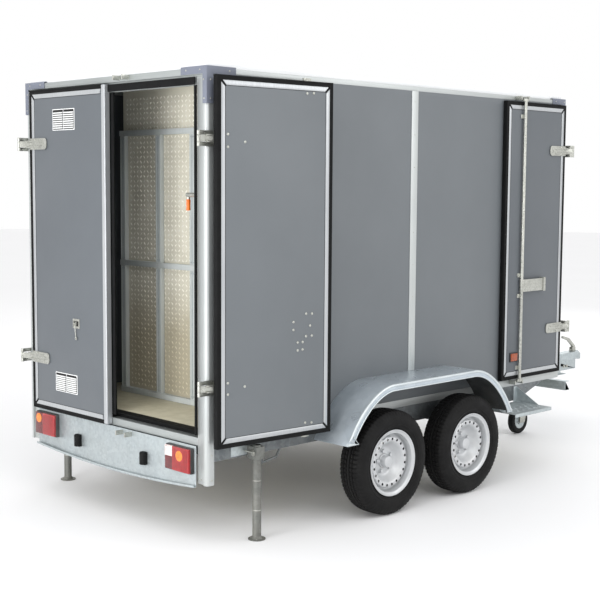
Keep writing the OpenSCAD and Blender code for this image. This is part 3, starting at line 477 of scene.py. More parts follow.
def addPrism(mesh, rows, index=0):
    # a solid through rows of points, closed at both ends
    for first, second in zip(rows, rows[1:]):
        bridge(mesh, first, second, index)
    for row in (rows[0], rows[-1]):
        mesh.faces.new(row).material_index = index


def addRing(mesh, centre, side, other, radius, steps):
    # radius in mm; centre and the two directions in metres
    turn = 2 * math.pi / steps
    return [mesh.verts.new(centre + (side * math.cos(turn * s) + other * math.sin(turn * s))
                           * radius / 1000) for s in range(steps)]


def addLathe(mesh, centre, axis, profile, steps=32, index=0, closed=False):
    # profile: (radius, along) in mm; centre as a point in metres
    axis = Vector(axis).normalized()
    side = axis.orthogonal().normalized()
    other = axis.cross(side)
    rings = []
    for radius, along in profile:
        place = centre + axis * along / 1000
        if radius < 1e-6:
            rings.append([mesh.verts.new(place)])
        else:
            rings.append(addRing(mesh, place, side, other, radius, steps))
    pairs = list(zip(rings, rings[1:]))
    if closed:
        pairs.append((rings[-1], rings[0]))
    for first, second in pairs:
        if len(first) == len(second):
            bridge(mesh, first, second, index)
            continue
        tip, ring = (first[0], second) if len(first) == 1 else (second[0], first)
        for step in range(steps):
            face = mesh.faces.new([tip, ring[step], ring[(step + 1) % steps]])
            face.material_index = index


def addBolt(mesh, centre, axis, size=9.0, height=3.5, index=0, kind="dome"):
    # round coach bolt, or hexagon head with a washer
    if kind == "dome":
        profile = [(size, 0), (size, height * 0.35), (size * 0.8, height * 0.8),
                   (size * 0.4, height), (0, height * 1.05)]
        addLathe(mesh, centre, axis, profile, 20, index)
        return
    washer = [(size * 1.45, 0), (size * 1.45, height * 0.3), (size * 0.9, height * 0.34)]
    addLathe(mesh, centre, axis, washer, 24, index)
    head = [(size, height * 0.32), (size, height * 0.9), (size * 0.86, height * 1.1),
            (0, height * 1.1)]
    addLathe(mesh, centre, axis, head, 6, index)


def addTube(mesh, points, radius, steps=14):
    # round bar along points in metres, with smooth joins between straight lengths
    rings = []
    side = None
    for number, point in enumerate(points):
        before = points[max(number - 1, 0)]
        after = points[min(number + 1, len(points) - 1)]
        along = (after - before).normalized()
        if side is None:
            side = along.orthogonal().normalized()
        side = (side - along * side.dot(along)).normalized()
        rings.append(addRing(mesh, point, side, along.cross(side), radius, steps))
    addPrism(mesh, rings)


def curved(points, radius):
    # rounds the corners of a bent bar; points in mm
    steps = 5
    made = [Vector(points[0])]
    for before, corner, after in zip(points, points[1:], points[2:]):
        before, corner, after = Vector(before), Vector(corner), Vector(after)
        inward = before - corner
        outward = after - corner
        reach = min(radius, inward.length * 0.45, outward.length * 0.45)
        start = corner + inward.normalized() * reach
        end = corner + outward.normalized() * reach
        for step in range(steps + 1):
            t = step / steps
            made.append(start * (1 - t) ** 2 + corner * 2 * t * (1 - t) + end * t * t)
    made.append(Vector(points[-1]))
    return [at(*p) for p in made]


print("stage: finishes and helpers ready")


# camera, light and floor
camera = {"lens": 71.96, "place": (-8.113, -5.153, 1.335), "turn": 45.48, "tilt": -5.51, "roll": 0.36}
lights = {
    "key": dict(place=(-7.5, -5.5, 6.5), size=6.0, watts=150),
    "side": dict(place=(1.5, -8.5, 4.0), size=5.0, watts=150),
    "rear": dict(place=(-9.0, -1.2, 1.1), size=2.4, watts=150),
    "front": dict(place=(4.5, 4.5, 4.5), size=5.0, watts=100),
}
studio = {"floorRings": (0.0, 3.0, 8.0, 18.0, 40.0), "floorColour": rgb(246, 246, 247),
          "floorSecond": rgb(243, 243, 244), "floorDrop": 0.0005, "airStrength": 1.0}
boxMiddleX = backX + 1.5  # half way along the load box


def makeCamera():
    data = bpy.data.cameras.new("camera")
    data.lens = camera["lens"]
    data.sensor_width = 36.0
    data.clip_end = 200.0
    held = bpy.data.objects.new("camera", data)
    bpy.context.scene.collection.objects.link(held)
    turn, tilt, roll = (math.radians(camera[k]) for k in ("turn", "tilt", "roll"))
    ahead = Vector((math.cos(tilt) * math.cos(turn), math.cos(tilt) * math.sin(turn),
                    math.sin(tilt)))
    right = ahead.cross(Vector((0, 0, 1))).normalized()
    up = right.cross(ahead)
    rolledRight = right * math.cos(roll) + up * math.sin(roll)
    rolledUp = up * math.cos(roll) - right * math.sin(roll)
    turned = Matrix((rolledRight, rolledUp, -ahead)).transposed().to_4x4()
    held.matrix_world = Matrix.Translation(camera["place"]) @ turned
    bpy.context.scene.camera = held


def makeLights():
    bpy.context.scene.view_settings.view_transform = "Standard"
    middle = Vector((boxMiddleX, 0, groundZ + 1.0))
    for name, setting in lights.items():
        data = bpy.data.lights.new(name, "AREA")
        data.size = setting["size"]
        data.energy = setting["watts"]
        lamp = bpy.data.objects.new(name, data)
        bpy.context.scene.collection.objects.link(lamp)
        lamp.location = setting["place"]
        lamp.rotation_euler = (middle - lamp.location).to_track_quat("-Z", "Y").to_euler()
    world = bpy.data.worlds.new("air")
    world.use_nodes = True
    sky = world.node_tree.nodes["Background"]
    sky.inputs["Color"].default_value = (1.0, 1.0, 1.0, 1.0)
    sky.inputs["Strength"].default_value = studio["airStrength"]
    bpy.context.scene.world = world


def makeFloor():
    mesh = bmesh.new()
    centre = Vector((boxMiddleX, 0, groundZ - studio["floorDrop"]))
    addLathe(mesh, centre, (0, 0, 1), [(r * 1000, 0) for r in studio["floorRings"]], 64)
    data = bpy.data.meshes.new("studioFloor")
    mesh.to_mesh(data)
    mesh.free()
    floor = bpy.data.objects.new("studioFloor", data)
    bpy.context.scene.collection.objects.link(floor)
    material = bpy.data.materials.new("studioFloor")
    material.use_nodes = True
    tree = material.node_tree
    shader = tree.nodes["Principled BSDF"]
    place = addNode(tree, "TexCoord").outputs["Object"]
    tone = mixColour(tree, noise(tree, place, 0.8), studio["floorColour"],
                     studio["floorSecond"])
    wire(tree, tone, shader.inputs["Base Color"])
    shader.inputs["Roughness"].default_value = 0.75
    data.materials.append(material)


makeCamera()
makeLights()
makeFloor()
print("stage: camera, lights and floor set")


# frame parts that keep their shape, with softened edges
plainParts = {
    # node: (finish, edge width in mm)
    "chassis_frame": ("chassisSteel", 1.5), "drawbar": ("galvanised", 2.0),
    "front_crossbeam": ("galvanised", 2.5), "coupling_head": ("galvanised", 1.5),
    "jockey_inner_tube": ("zinc", 0.6), "rear_axle": ("chassisSteel", 1.5),
    "front_axle": ("chassisSteel", 1.5), "floor_panel": ("floorCream", 0.6),
    "left_wall": ("panelGrey", 0.5), "right_wall": ("panelGrey", 0.5),
    "front_wall": ("panelGrey", 0.5), "roof_panel": ("roofWhite", 3.0),
    "joint_strips": ("aluminium", 1.2), "rear_posts": ("aluminium", 1.2),
    "front_posts": ("aluminium", 1.0), "top_rails": ("aluminiumAlong", 1.5),
    "bottom_rails": ("aluminiumAlong", 1.5), "rear_header": ("aluminiumAcross", 1.2),
    "rear_sill": ("aluminiumAcross", 1.0), "corner_caps": ("capPlastic", 1.4),
    "tail_panel": ("galvanised", 0.6), "side_step": ("galvanised", 1.2),
    "hinge_brackets": ("zinc", 1.2), "lock_keepers": ("zinc", 1.0),
    "ramp_frame": ("rampBar", 1.2), "ramp_latch": ("zinc", 1.0),
    "stabiliser_brackets": ("galvanised", 1.2), "left_stabiliser": ("galvanisedDull", 1.0),
    "right_stabiliser": ("galvanisedDull", 1.0), "left_rear_door": ("doorGrey", 0.6),
    "right_rear_door": ("panelGrey", 0.6), "side_door": ("doorGrey", 0.6),
    "left_rear_door_hinges": ("zinc", 1.0), "right_rear_door_hinges": ("zinc", 1.0),
    "side_door_hinges": ("zinc", 1.0), "right_rear_door_lock": ("zinc", 0.8),
    "side_door_lock": ("zinc", 0.8), "jockey_outer_tube": ("zinc", 1.0),
    "jockey_fork": ("zinc", 1.0), "coupling_handle": ("zinc", 1.0),
}
for node, (finishName, width) in plainParts.items():
    softened(node, finishName, width)
print("stage: frame parts softened")


# door edges: rubber seal, mitred trim and corner wedges on both faces
doorEdge = {"seal": 23.0, "trim": 24.0, "proud": 1.9, "mitreGap": 9.0, "freeProfile": 30.0}


def sweepRing(mesh, place, low, high, section, index=0, openAt=None):
    # section: (distance in from the leaf's edge, depth from its outer face)
    rows = []
    for inward, depth in section:
        if openAt is None:
            corners = [(low[0] + inward, low[1] + inward), (high[0] - inward, low[1] + inward),
                       (high[0] - inward, high[1] - inward), (low[0] + inward, high[1] - inward)]
        else:
            corners = [(openAt, low[1] + inward), (high[0] - inward, low[1] + inward),
                       (high[0] - inward, high[1] - inward), (openAt, high[1] - inward)]
        rows.append([mesh.verts.new(place(u, v, depth)) for u, v in corners])
    for first, second in zip(rows, rows[1:] + rows[:1]):
        for corner in range(4 if openAt is None else 3):
            following = (corner + 1) % 4
            mesh.faces.new([first[corner], first[following], second[following],
                            second[corner]]).material_index = index
    if openAt is not None:
        for corner in (0, 3):
            mesh.faces.new([row[corner] for row in rows]).material_index = index


def addBars(mesh, place, low, high, depthOut, sign, sides, openAt=None):
    start, width = doorEdge["seal"], doorEdge["trim"]
    gap = doorEdge["mitreGap"]
    proud = doorEdge["proud"]
    section = [(start + 0.3, 0.0), (start + 0.3, proud * 0.6), (start + 2.5, proud),
               (start + width - 5, proud), (start + width - 1.5, proud * 0.55),
               (start + width, 0.0)]
    for side in sides:
        ends = []
        for far in (False, True):
            row = []
            for inward, out in section:
                run = inward + gap
                if side in ("low", "high"):
                    left = low[0] + run if openAt is None else openAt + 2 + inward * 0.25
                    u = high[0] - run if far else left
                    v = low[1] + inward if side == "low" else high[1] - inward
                else:
                    v = high[1] - run if far else low[1] + run
                    u = low[0] + inward if side == "left" else high[0] - inward
                row.append(mesh.verts.new(place(u, v, depthOut - sign * out)))
            ends.append(row)
        addPrism(mesh, ends)


def addWedges(mesh, place, low, high, depthOut, sign, openAt=None):
    inner, outer = doorEdge["seal"], doorEdge["seal"] + doorEdge["trim"] + 1.5
    gap = doorEdge["mitreGap"] - 0.6
    out = doorEdge["proud"] * 0.8
    corners = [(1, 0), (1, 1)] if openAt is not None else [(0, 0), (1, 0), (1, 1), (0, 1)]
    for right, top in corners:
        outline = [(inner, inner), (inner + gap, inner), (outer + gap * 0.5, outer),
                   (outer, outer + gap * 0.5), (inner, inner + gap)]
        rows = []
        for depth in (depthOut, depthOut - sign * out):
            rows.append([mesh.verts.new(place(high[0] - a if right else low[0] + a,
                                              high[1] - b if top else low[1] + b, depth))
                         for a, b in outline])
        addPrism(mesh, rows)


def dressDoor(name, place, low, high, thick, body, nodes, turn=None, openAt=None):
    proud = doorEdge["proud"]
    seal = doorEdge["seal"]
    section = [(seal, 1.0), (seal, -proud), (seal - 6, -proud), (seal - 9, -0.5), (seal - 14, -0.5),
               (seal - 17, -proud), (2.5, -proud), (0.3, -0.6), (-0.4, 1.2),
               (-0.4, thick - 1.2), (0.3, thick + 0.6), (2.5, thick + proud),
               (seal - 17, thick + proud), (seal - 14, thick + 0.5), (seal - 9, thick + 0.5),
               (seal - 6, thick + proud), (seal, thick + proud), (seal, thick - 1.0)]
    rubber = bmesh.new()
    sweepRing(rubber, place, low, high, section, 0, openAt)
    end = seal + doorEdge["trim"]
    for face, sign in ((0.0, 1), (thick, -1)):
        groove = [(end + 0.2, face + sign * 0.5), (end + 0.2, face - sign * 0.7),
                  (end + 2.2, face - sign * 0.7), (end + 2.2, face + sign * 0.5)]
        sweepRing(rubber, place, low, high, groove, 0, openAt)
        addWedges(rubber, place, low, high, face, sign, openAt)
    bright = bmesh.new()
    sides = ("low", "high", "right") if openAt is not None else ("low", "high", "left", "right")
    for face, sign in ((0.0, 1), (thick, -1)):
        addBars(bright, place, low, high, face, sign, sides, openAt)
    for mesh in (rubber, bright):
        if turn:
            bmesh.ops.transform(mesh, matrix=turn, verts=mesh.verts[:])
    makePiece(name + "Seal", rubber, "sealRubber", body, smooth=30)
    makePiece(name + "Trim", bright, "brightTrim", body, nodes, smooth=25)


leftLow, leftHigh = span("left_rear_door")
sideLow, sideHigh = span("side_door")
rearThick = leftHigh.x - leftLow.x
sideThick = sideHigh.y - sideLow.y
hinge = joints["right_rear_door_hinge"]
pin = Vector(hinge["pos_m"])
swing = math.radians(-hinge["range_deg"][0])
rightTurn = (Matrix.Translation(pin) @ Matrix.Rotation(swing, 4, "Z")
             @ Matrix.Translation(-pin))


def leftPlace(u, v, depth):
    return at(leftLow.x + depth, u, v)


def rightPlace(u, v, depth):
    return at(leftLow.x + depth, -u, v)


def sidePlace(u, v, depth):
    return at(u, sideLow.y + depth, v)


rearLow, rearHigh = (leftLow.y, leftLow.z), (leftHigh.y, leftHigh.z)
freeEdge = leftLow.y + doorEdge["freeProfile"]
dressDoor("leftRearDoor", leftPlace, rearLow, rearHigh, rearThick, "left_back_door",
          ("left_rear_door_trim",), openAt=freeEdge)
dressDoor("rightRearDoor", rightPlace, rearLow, rearHigh, rearThick, "right_back_door",
          ("right_rear_door_trim",), turn=rightTurn)
dressDoor("sideDoor", sidePlace, (sideLow.x, sideLow.z), (sideHigh.x, sideHigh.z), sideThick,
          "front_side_door", ("side_door_trim",))


doorLip = {"footGap": 50.0, "headGap": 40.0, "back": 10.8, "sheet": 3.0, "ribs": 3,
           "ribPitch": 7.0, "ribRadius": 3.6, "ribBack": 4.0}


def makeFreeEdge():
    # two-tone profile on the left door's free edge, and the lip that laps behind the right door
    y, back = leftLow.y, leftHigh.x
    low, high = leftLow.z + 4, leftHigh.z - 4
    section = [(y + 30.5, 0.4), (y + 30.5, -1.2), (y + 21, -1.9), (y + 18, -1.0), (y + 16, -1.9),
               (y + 6, -1.9), (y - 0.4, 1.0), (y - 0.6, rearThick + 1.2), (y + 30, rearThick + 1.2),
               (y + 30, rearThick - 0.4), (y + 0.6, rearThick - 0.4), (y + 0.8, 2.0), (y + 6, 0.4)]
    mesh = bmesh.new()
    addPrism(mesh, [[mesh.verts.new(leftPlace(u, z, d)) for u, d in section]
                    for z in (low, high)])
    makePiece("leftDoorEdge", mesh, "brightTrim", "left_back_door", smooth=0)
    lip = bmesh.new()
    reach = span("left_rear_door_trim")[0].y
    low, high = low + doorLip["footGap"], high - doorLip["headGap"]
    end = back + doorLip["back"]
    addBlock(lip, (end - doorLip["sheet"], reach, low), (end, y + 4, high), 1.0)
    addBlock(lip, (back, y - 1, low), (end, y + 4, high), 1.0)
    for number in range(doorLip["ribs"]):
        across = reach + 4 + number * doorLip["ribPitch"]
        x = back + doorLip["ribBack"]
        addTube(lip, [at(x, across, low), at(x, across, high)], doorLip["ribRadius"], 10)
    makePiece("leftDoorLip", lip, "sealRubber", "left_back_door", smooth=40)


makeFreeEdge()
print("stage: door edges made")


# vents, catch and bolts on the doors
vents = {"acrossFrom": 280.0, "acrossTo": 488.0, "upper": (2047.0, 2161.0),
         "lower": (618.0, 724.0), "border": 7.0, "post": 5.0, "slats": 8, "lean": -38.0}
catch = {"across": 283.0, "z": 1008.0, "width": 62.0, "height": 52.0}


def addVent(mesh, low, high):
    face = leftLow.x
    y0, y1 = vents["acrossFrom"], vents["acrossTo"]
    addBlock(mesh, (face - 1.6, y0, low), (face + 1, y1, high), 0.8)
    middle = (y0 + y1) / 2
    step = (high - low - 22) / vents["slats"]
    lean = Matrix.Rotation(math.radians(vents["lean"]), 3, "Y")
    for a, b in ((y0 + vents["border"], middle - vents["post"]),
                 (middle + vents["post"], y1 - vents["border"])):
        # painted shade: a dark sheet behind the slats stands for the shade inside the vent
        addBlock(mesh, (face - 1.9, a - 3, low + 4), (face - 0.5, b + 3, high - 4), 0.5, index=1)
        for number in range(vents["slats"]):
            z = low + 12 + step * number
            slat = addBlock(mesh, (face - 7.5, a, z), (face - 1.0, b, z + step * 0.42), 0.8)
            centre = at(face - 2, (a + b) / 2, z + step * 0.2)
            bmesh.ops.rotate(mesh, verts=slat, cent=centre, matrix=lean)
    for y in (y0 + 4, y1 - 4):
        for z in (low + 5, high - 5):
            addBolt(mesh, at(face - 1.4, y, z), (-1, 0, 0), 2.4, 1.4)


def makeVents():
    mesh = bmesh.new()
    addVent(mesh, *vents["upper"])
    addVent(mesh, *vents["lower"])
    makePiece("doorVents", mesh, ["ventWhite", "paintedGapShade"], "left_back_door")


def makeCatch():
    face = leftLow.x
    y, z, w, h = (catch[k] for k in ("across", "z", "width", "height"))
    mesh = bmesh.new()
    addBlock(mesh, (face - 3, y - w / 2, z - h / 2), (face + 1, y + w / 2, z + h / 2), 1.2)
    # painted shade: a dark inset patch stands for the shade in the catch's recess
    addBlock(mesh, (face - 4.5, y - w / 2 + 9, z - h / 2 + 12),
             (face - 2.5, y + w / 2 - 9, z + h / 2 - 12), 1.0, index=1)
    for side in (-1, 1):
        for up in (-1, 1):
            addBolt(mesh, at(face - 3, y + side * (w / 2 - 8), z + up * (h / 2 - 6)), (-1, 0, 0),
                    4.2, 2.4)
    for side in (-1, 1):
        addBlock(mesh, (face - 15, y + side * 9 - 2, z - 12), (face - 2, y + side * 9 + 2, z + 12),
                 1.0)
    addTube(mesh, [at(face - 10, y - 14, z), at(face - 10, y + 14, z)], 3.4, 14)
    drop = curved([(face - 10, y, z - 4), (face - 9, y, z - 40), (face - 6, y - 3, z - 78)], 12)
    addTube(mesh, drop, 2.6, 10)
    addLathe(mesh, at(face - 6, y - 3, z - 80), (1, 0, 0), [(4, -1.5), (9, -1.5), (9, 1.5), (4, 1.5)],
             20, 0, closed=True)
    makePiece("doorCatch", mesh, ["zinc", "paintedGapShade"], "left_back_door")


insideBolts = {
    # distances from the free edge and from the leaf's foot, in mm
    "topPair": [(128.0, 1720.0), (170.0, 1717.0)],
    "upperHinge": [(654.0, 1503.0), (654.0, 1443.0), (553.0, 1469.0)],
    "lowerHinge": [(654.0, 317.0), (654.0, 262.0), (553.0, 291.0)],
    "footPair": [(128.0, 62.0), (170.0, 66.0)],
    "lock": [(130.0, 620.0), (168.0, 622.0), (250.0, 585.0), (142.0, 560.0), (250.0, 545.0),
             (168.0, 508.0), (130.0, 508.0), (222.0, 480.0), (190.0, 480.0), (222.0, 440.0),
             (190.0, 442.0)],
}


def makeInsideBolts():
    mesh = bmesh.new()
    for group in insideBolts.values():
        for inFromEdge, up in group:
            centre = rightPlace(leftLow.y + inFromEdge, leftLow.z + up, rearThick)
            addBolt(mesh, centre, (1, 0, 0), 6.8, 3.6)
    bmesh.ops.transform(mesh, matrix=rightTurn, verts=mesh.verts[:])
    makePiece("insideBolts", mesh, "zinc", "right_back_door")


hingeStrap = {
    # inwards from the leaf's edge, up from the strap's middle, and depth of the ribs' corners
    "rib": ((-34, 15, 0.4), (20, 15, 0.2), (112, 13, 0.2), (124, 11, -2.2)), "ribRadius": 5.0,
    "bolts": ((58, 22), (58, -22), (140, 0)), "boltSize": 6.4, "boltHeight": 4.4,
    "fromFoot": 292.0, "fromHead": 295.0, "sideEnds": 290.0, "thick": 7.0}


def makeHingeDetail(name, place, hingeZs, edge, out, body, turn=None):
    # two pressed ribs and three bolts on every hinge strap
    mesh = bmesh.new()
    for z in hingeZs:
        for side in (-1, 1):
            points = [place(edge - along, z + side * up, depth)
                      for along, up, depth in hingeStrap["rib"]]
            addTube(mesh, points, hingeStrap["ribRadius"], 12)
        for along, up in hingeStrap["bolts"]:
            addBolt(mesh, place(edge - along, z + up, 0.0), out, hingeStrap["boltSize"],
                    hingeStrap["boltHeight"])
    if turn:
        bmesh.ops.transform(mesh, matrix=turn, verts=mesh.verts[:])
    makePiece(name, mesh, "zinc", body)


rearHingeZs = (leftLow.z + hingeStrap["fromFoot"], leftHigh.z - hingeStrap["fromHead"])
sideHingeZs = (sideLow.z + hingeStrap["sideEnds"], sideHigh.z - hingeStrap["sideEnds"])
rearStrapOut = leftLow.x - hingeStrap["thick"]
sideStrapOut = sideLow.y - hingeStrap["thick"]
makeVents()
makeCatch()
makeInsideBolts()
makeHingeDetail("leftHingeDetail", lambda u, z, d: at(rearStrapOut - d, u, z), rearHingeZs,
                leftHigh.y, (-1, 0, 0), "left_back_door")
makeHingeDetail("rightHingeDetail", lambda u, z, d: at(rearStrapOut - d, -u, z), rearHingeZs,
                leftHigh.y, (-1, 0, 0), "right_back_door", rightTurn)
makeHingeDetail("sideHingeDetail", lambda u, z, d: at(u, sideStrapOut - d, z), sideHingeZs,
                sideHigh.x, (0, -1, 0), "front_side_door")
print("stage: vents, catch and bolts made")


# wheels: treaded tyres and pierced steel rims
tyreShape = {"blocks": 72, "grooveDepth": 7.5, "grooves": (-30.0, -10.0, 10.0, 30.0),
             "grooveWidth": 6.0, "sipeDepth": 5.0, "shoulderCut": 3.2, "centreRib": 12.0,
             "slant": 0.012}
rimShape = {"holes": 20, "holeRadius": 7.6, "boltCircle": 56.0, "bolts": 5, "boltTurn": 0.5,
            "valveTurn": 3.6}
# the eight points round a hole: which ring and column, and where on a round outline
holeSpot = ((0, 0), (0, 1), (0, 2), (1, 2), (2, 2), (2, 1), (2, 0), (1, 0))
holePoint = ((0.707, -0.707), (1.0, 0.0), (0.707, 0.707), (0.0, 1.0), (-0.707, 0.707),
             (-1.0, 0.0), (-0.707, -0.707), (0.0, -1.0))


def wheelFrame(node):
    low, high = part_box(node)
    return (low + high) / 2, (high - low) * 500, 1 if low.y > 0 else -1


def wheelRing(mesh, centre, side, across, radii, turns):
    # one ring of points: radii and turns have an entry for each point
    return [mesh.verts.new(centre + Vector((math.cos(turn) * radius / 1000, across / 1000 * side,
                                            math.sin(turn) * radius / 1000)))
            for radius, turn in zip(radii, turns)]


def makeTyre(node):
    # r and w: the tyre's radius and half width; s and b: those of the rim it sits on
    centre, half, side = wheelFrame(node)
    r, w = half.z, half.y
    rimHalf = wheelFrame(node.replace("_tyre", "_rim"))[1]
    s, b = rimHalf.z, min(rimHalf.y - 3, w - 12)
    section = [(s - 17, -b + 8), (s - 3, -b + 6), (s + 4, -b + 1), (s + 7, -b - 3),
               (s + 12, -b - 4), (s + 16, -w + 8), (s + 24, -w + 2.4), (s + 27, -w + 1.0),
               (s + 29, -w + 2.2), (r * 0.78, -w), (r - 46, -w + 0.6), (r - 43, -w + 1.6),
               (r - 32, -w + 3), (r - 24, -w + 6), (r - 14, -w + 12), (r - 5, -w + 20)]
    wall = len(section)
    edge, depth = w - 30, tyreShape["grooveDepth"]
    crown = [(-edge, 0)]
    for place in tyreShape["grooves"]:
        a, z = place - tyreShape["grooveWidth"] / 2, place + tyreShape["grooveWidth"] / 2
        crown += [(a, 0), (a + 1.2, -depth), (z - 1.2, -depth), (z, 0)]
    crown.append((edge, 0))
    section += [(r - 1.5 * (abs(y) / edge) ** 4 - 1.0 + d, y) for y, d in crown]
    section += [(a, -c) for a, c in reversed(section[:wall])]
    steps = tyreShape["blocks"] * 4
    mesh = bmesh.new()
    rings = []
    for radius, across in section:
        onTread = radius > r - depth + 2
        cut = 0.0
        if onTread and abs(across) > tyreShape["centreRib"]:
            cut = tyreShape["sipeDepth"]
        elif r - 26 < radius <= r - 4:
            cut = tyreShape["shoulderCut"]
        shift = 2 if across > 0 else 0
        slant = across * tyreShape["slant"] if onTread else 0
        radii = [radius - (0 if (step + shift) % 4 else cut) for step in range(steps)]
        turns = [2 * math.pi * (step + slant) / steps for step in range(steps)]
        rings.append(wheelRing(mesh, centre, side, across, radii, turns))
    for first, second in zip(rings, rings[1:] + rings[:1]):
        bridge(mesh, first, second)
    makePiece(node + "Tread", mesh, "tyreRubber", bodyOf[node], (node,), smooth=32)


def makeRim(node):
    # r and b: the rim's radius and half width; s: the bead seat's radius
    centre, half, side = wheelFrame(node)
    r, b = half.z, half.y - 3
    s = r - 17.4
    # outer face from the flange in to the hub, then back along the inner side
    face = [(r - 0.6, b + 0.8), (r - 1.6, b + 2.6), (r - 4, b + 2.6), (r - 6, b + 0.6),
            (r - 9, b - 2.5), (s - 3, b - 6), (s - 5, b - 14), (s - 5.2, b - 38),
            (s - 9, b - 46), (s - 16, b - 50), (s - 22, b - 50), (s - 24, b - 44)]
    band = [(s - 24.6, b - 28), (s - 28, b - 23.4), (s - 38, b - 22.4), (s - 48, b - 23.8),
            (s - 52, b - 26)]
    dish = [(s - 58, b - 33), (s - 66, b - 45), (s - 74, b - 56), (s - 82, b - 65),
            (s - 89, b - 69.5), (s - 96, b - 71), (s - 104, b - 70), (s - 112, b - 68.5)]
    front = face + band + dish + [(s - 124, b - 68.5), (s - 124, b - 73.5)]
    back = [(a - 1.5, c - 5.0) for a, c in reversed(dish)]
    back += [(a - 1.0, c - 5.0) for a, c in reversed(band)]
    barrel = [(s - 28, b - 58), (s - 24, b - 64), (s - 19.5, b - 68), (s - 19.5, -b + 50),
              (s - 4.5, -b + 34), (s - 4.5, -b + 6), (r - 6, -b - 1), (r - 4, -b - 2.6),
              (r - 1.6, -b - 2.6), (r - 0.6, -b), (s + 0.2, -b + 7), (s, -b + 32),
              (s - 15.5, -b + 44), (s - 15.5, b - 52), (s, b - 40), (s, b - 8), (r - 2, b - 1.5)]
    loop = front + back + barrel
    frontHole = len(face) + 1
    backHole = len(front) + len(dish) + 1
    steps = rimShape["holes"] * 6
    turns = [2 * math.pi * k / steps for k in range(steps)]
    mesh = bmesh.new()
    rings = [wheelRing(mesh, centre, side, across, [radius] * steps, turns)
             for radius, across in loop]
    for number, first in enumerate(rings):
        second = rings[(number + 1) % len(rings)]
        holed = number - frontHole in (0, 1) or number - backHole in (0, 1)
        for k in range(steps):
            if holed and k % 6 in (2, 3):
                continue
            after = (k + 1) % steps
            wall = mesh.faces.new([first[k], second[k], second[after], first[after]])
            # painted shade: the back and barrel faces take the dark finish, standing for the shade seen through
            # the holes
            wall.material_index = int(len(front) <= number < len(loop) - 3)
    for hole in range(rimShape["holes"]):
        addRimHole(mesh, centre, rings[frontHole:frontHole + 3],
                   rings[backHole:backHole + 3][::-1], hole * 6 + 2, steps)
    addHub(mesh, centre, Vector((0, side, 0)), b, s)
    makePiece(node + "Pressed", mesh, ["rimSilver", "paintedArchShade"], bodyOf[node],
              (node,), smooth=38)


def addRimHole(mesh, centre, outerRings, innerRings, column, steps):
    # the hole's wall, with its corners eased to a round outline
    turn = 2 * math.pi * (column + 1) / steps
    radial = Vector((math.cos(turn), 0, math.sin(turn)))
    around = Vector((-math.sin(turn), 0, math.cos(turn)))
    reach = rimShape["holeRadius"] / 1000
    outlines = []
    for rings in (outerRings, innerRings):
        outline = [rings[a][(column + c) % steps] for a, c in holeSpot]
        middle = sum((v.co for v in outline), Vector()) / 8
        outwards = (middle - centre).dot(radial)
        for vertex, (a, c) in zip(outline, holePoint):
            across = vertex.co.y
            vertex.co = centre + radial * (outwards + reach * a) + around * reach * c
            vertex.co.y = across
        outlines.append(outline)
    # painted shade: the hole walls take the dark finish too
    bridge(mesh, outlines[0], outlines[1], 1)


def addHub(mesh, centre, out, b, s):
    # wheel bolts in their seats, the hub's cap and the valve
    hubFace = centre + out * (b - 69) / 1000
    for number in range(rimShape["bolts"]):
        turn = 2 * math.pi * number / rimShape["bolts"] + rimShape["boltTurn"]
        spot = Vector((math.cos(turn), 0, math.sin(turn))) * rimShape["boltCircle"] / 1000
        addLathe(mesh, hubFace + spot, out, [(14, -2), (13.6, 2.5), (11.5, 3.2), (11.5, 1.2)], 20)
        addLathe(mesh, hubFace + spot, out, [(10.2, 0.5), (10.2, 12), (8.6, 13.6), (0, 13.6)], 6)
    addLathe(mesh, hubFace, out, [(37, -6), (37, 3), (35, 4.5), (32.5, 4.5), (31.5, 33),
                                  (29, 37), (19, 39.2), (0, 40)], 36)
    turn = rimShape["valveTurn"]
    valve = Vector((math.cos(turn), 0, math.sin(turn)))
    root = centre + valve * (s - 13) / 1000 + out * (b - 46) / 1000
    tip = centre + valve * (s - 24) / 1000 + out * (b - 22) / 1000
    addTube(mesh, [root, (root + tip) / 2, tip], 3.6, 12)


for node in sorted(frame["nodes"]):
    if node.endswith("_tyre"):
        makeTyre(node)
    elif node.endswith("_rim"):
        makeRim(node)
print("stage: wheels made")


# ramp: raised tread on the plate, riveted channels and the latch's grip
ramp = {"pitchAcross": 31.0, "pitchUp": 27.0, "length": 27.0, "width": 9.0, "height": 2.4,
        "sideMargin": 24.0, "endMargin": 60.0, "firstAcross": 16.0, "firstUp": 40.0,
        "lean": 0.75, "crown": 0.42}
rampBars = {"bar": 34.0, "inFront": 4.0, "folds": ((1, 6), (36, 41)), "spine": (19, 23),
            "rivetsAcross": (12, 30), "rivetsIn": 12.0}


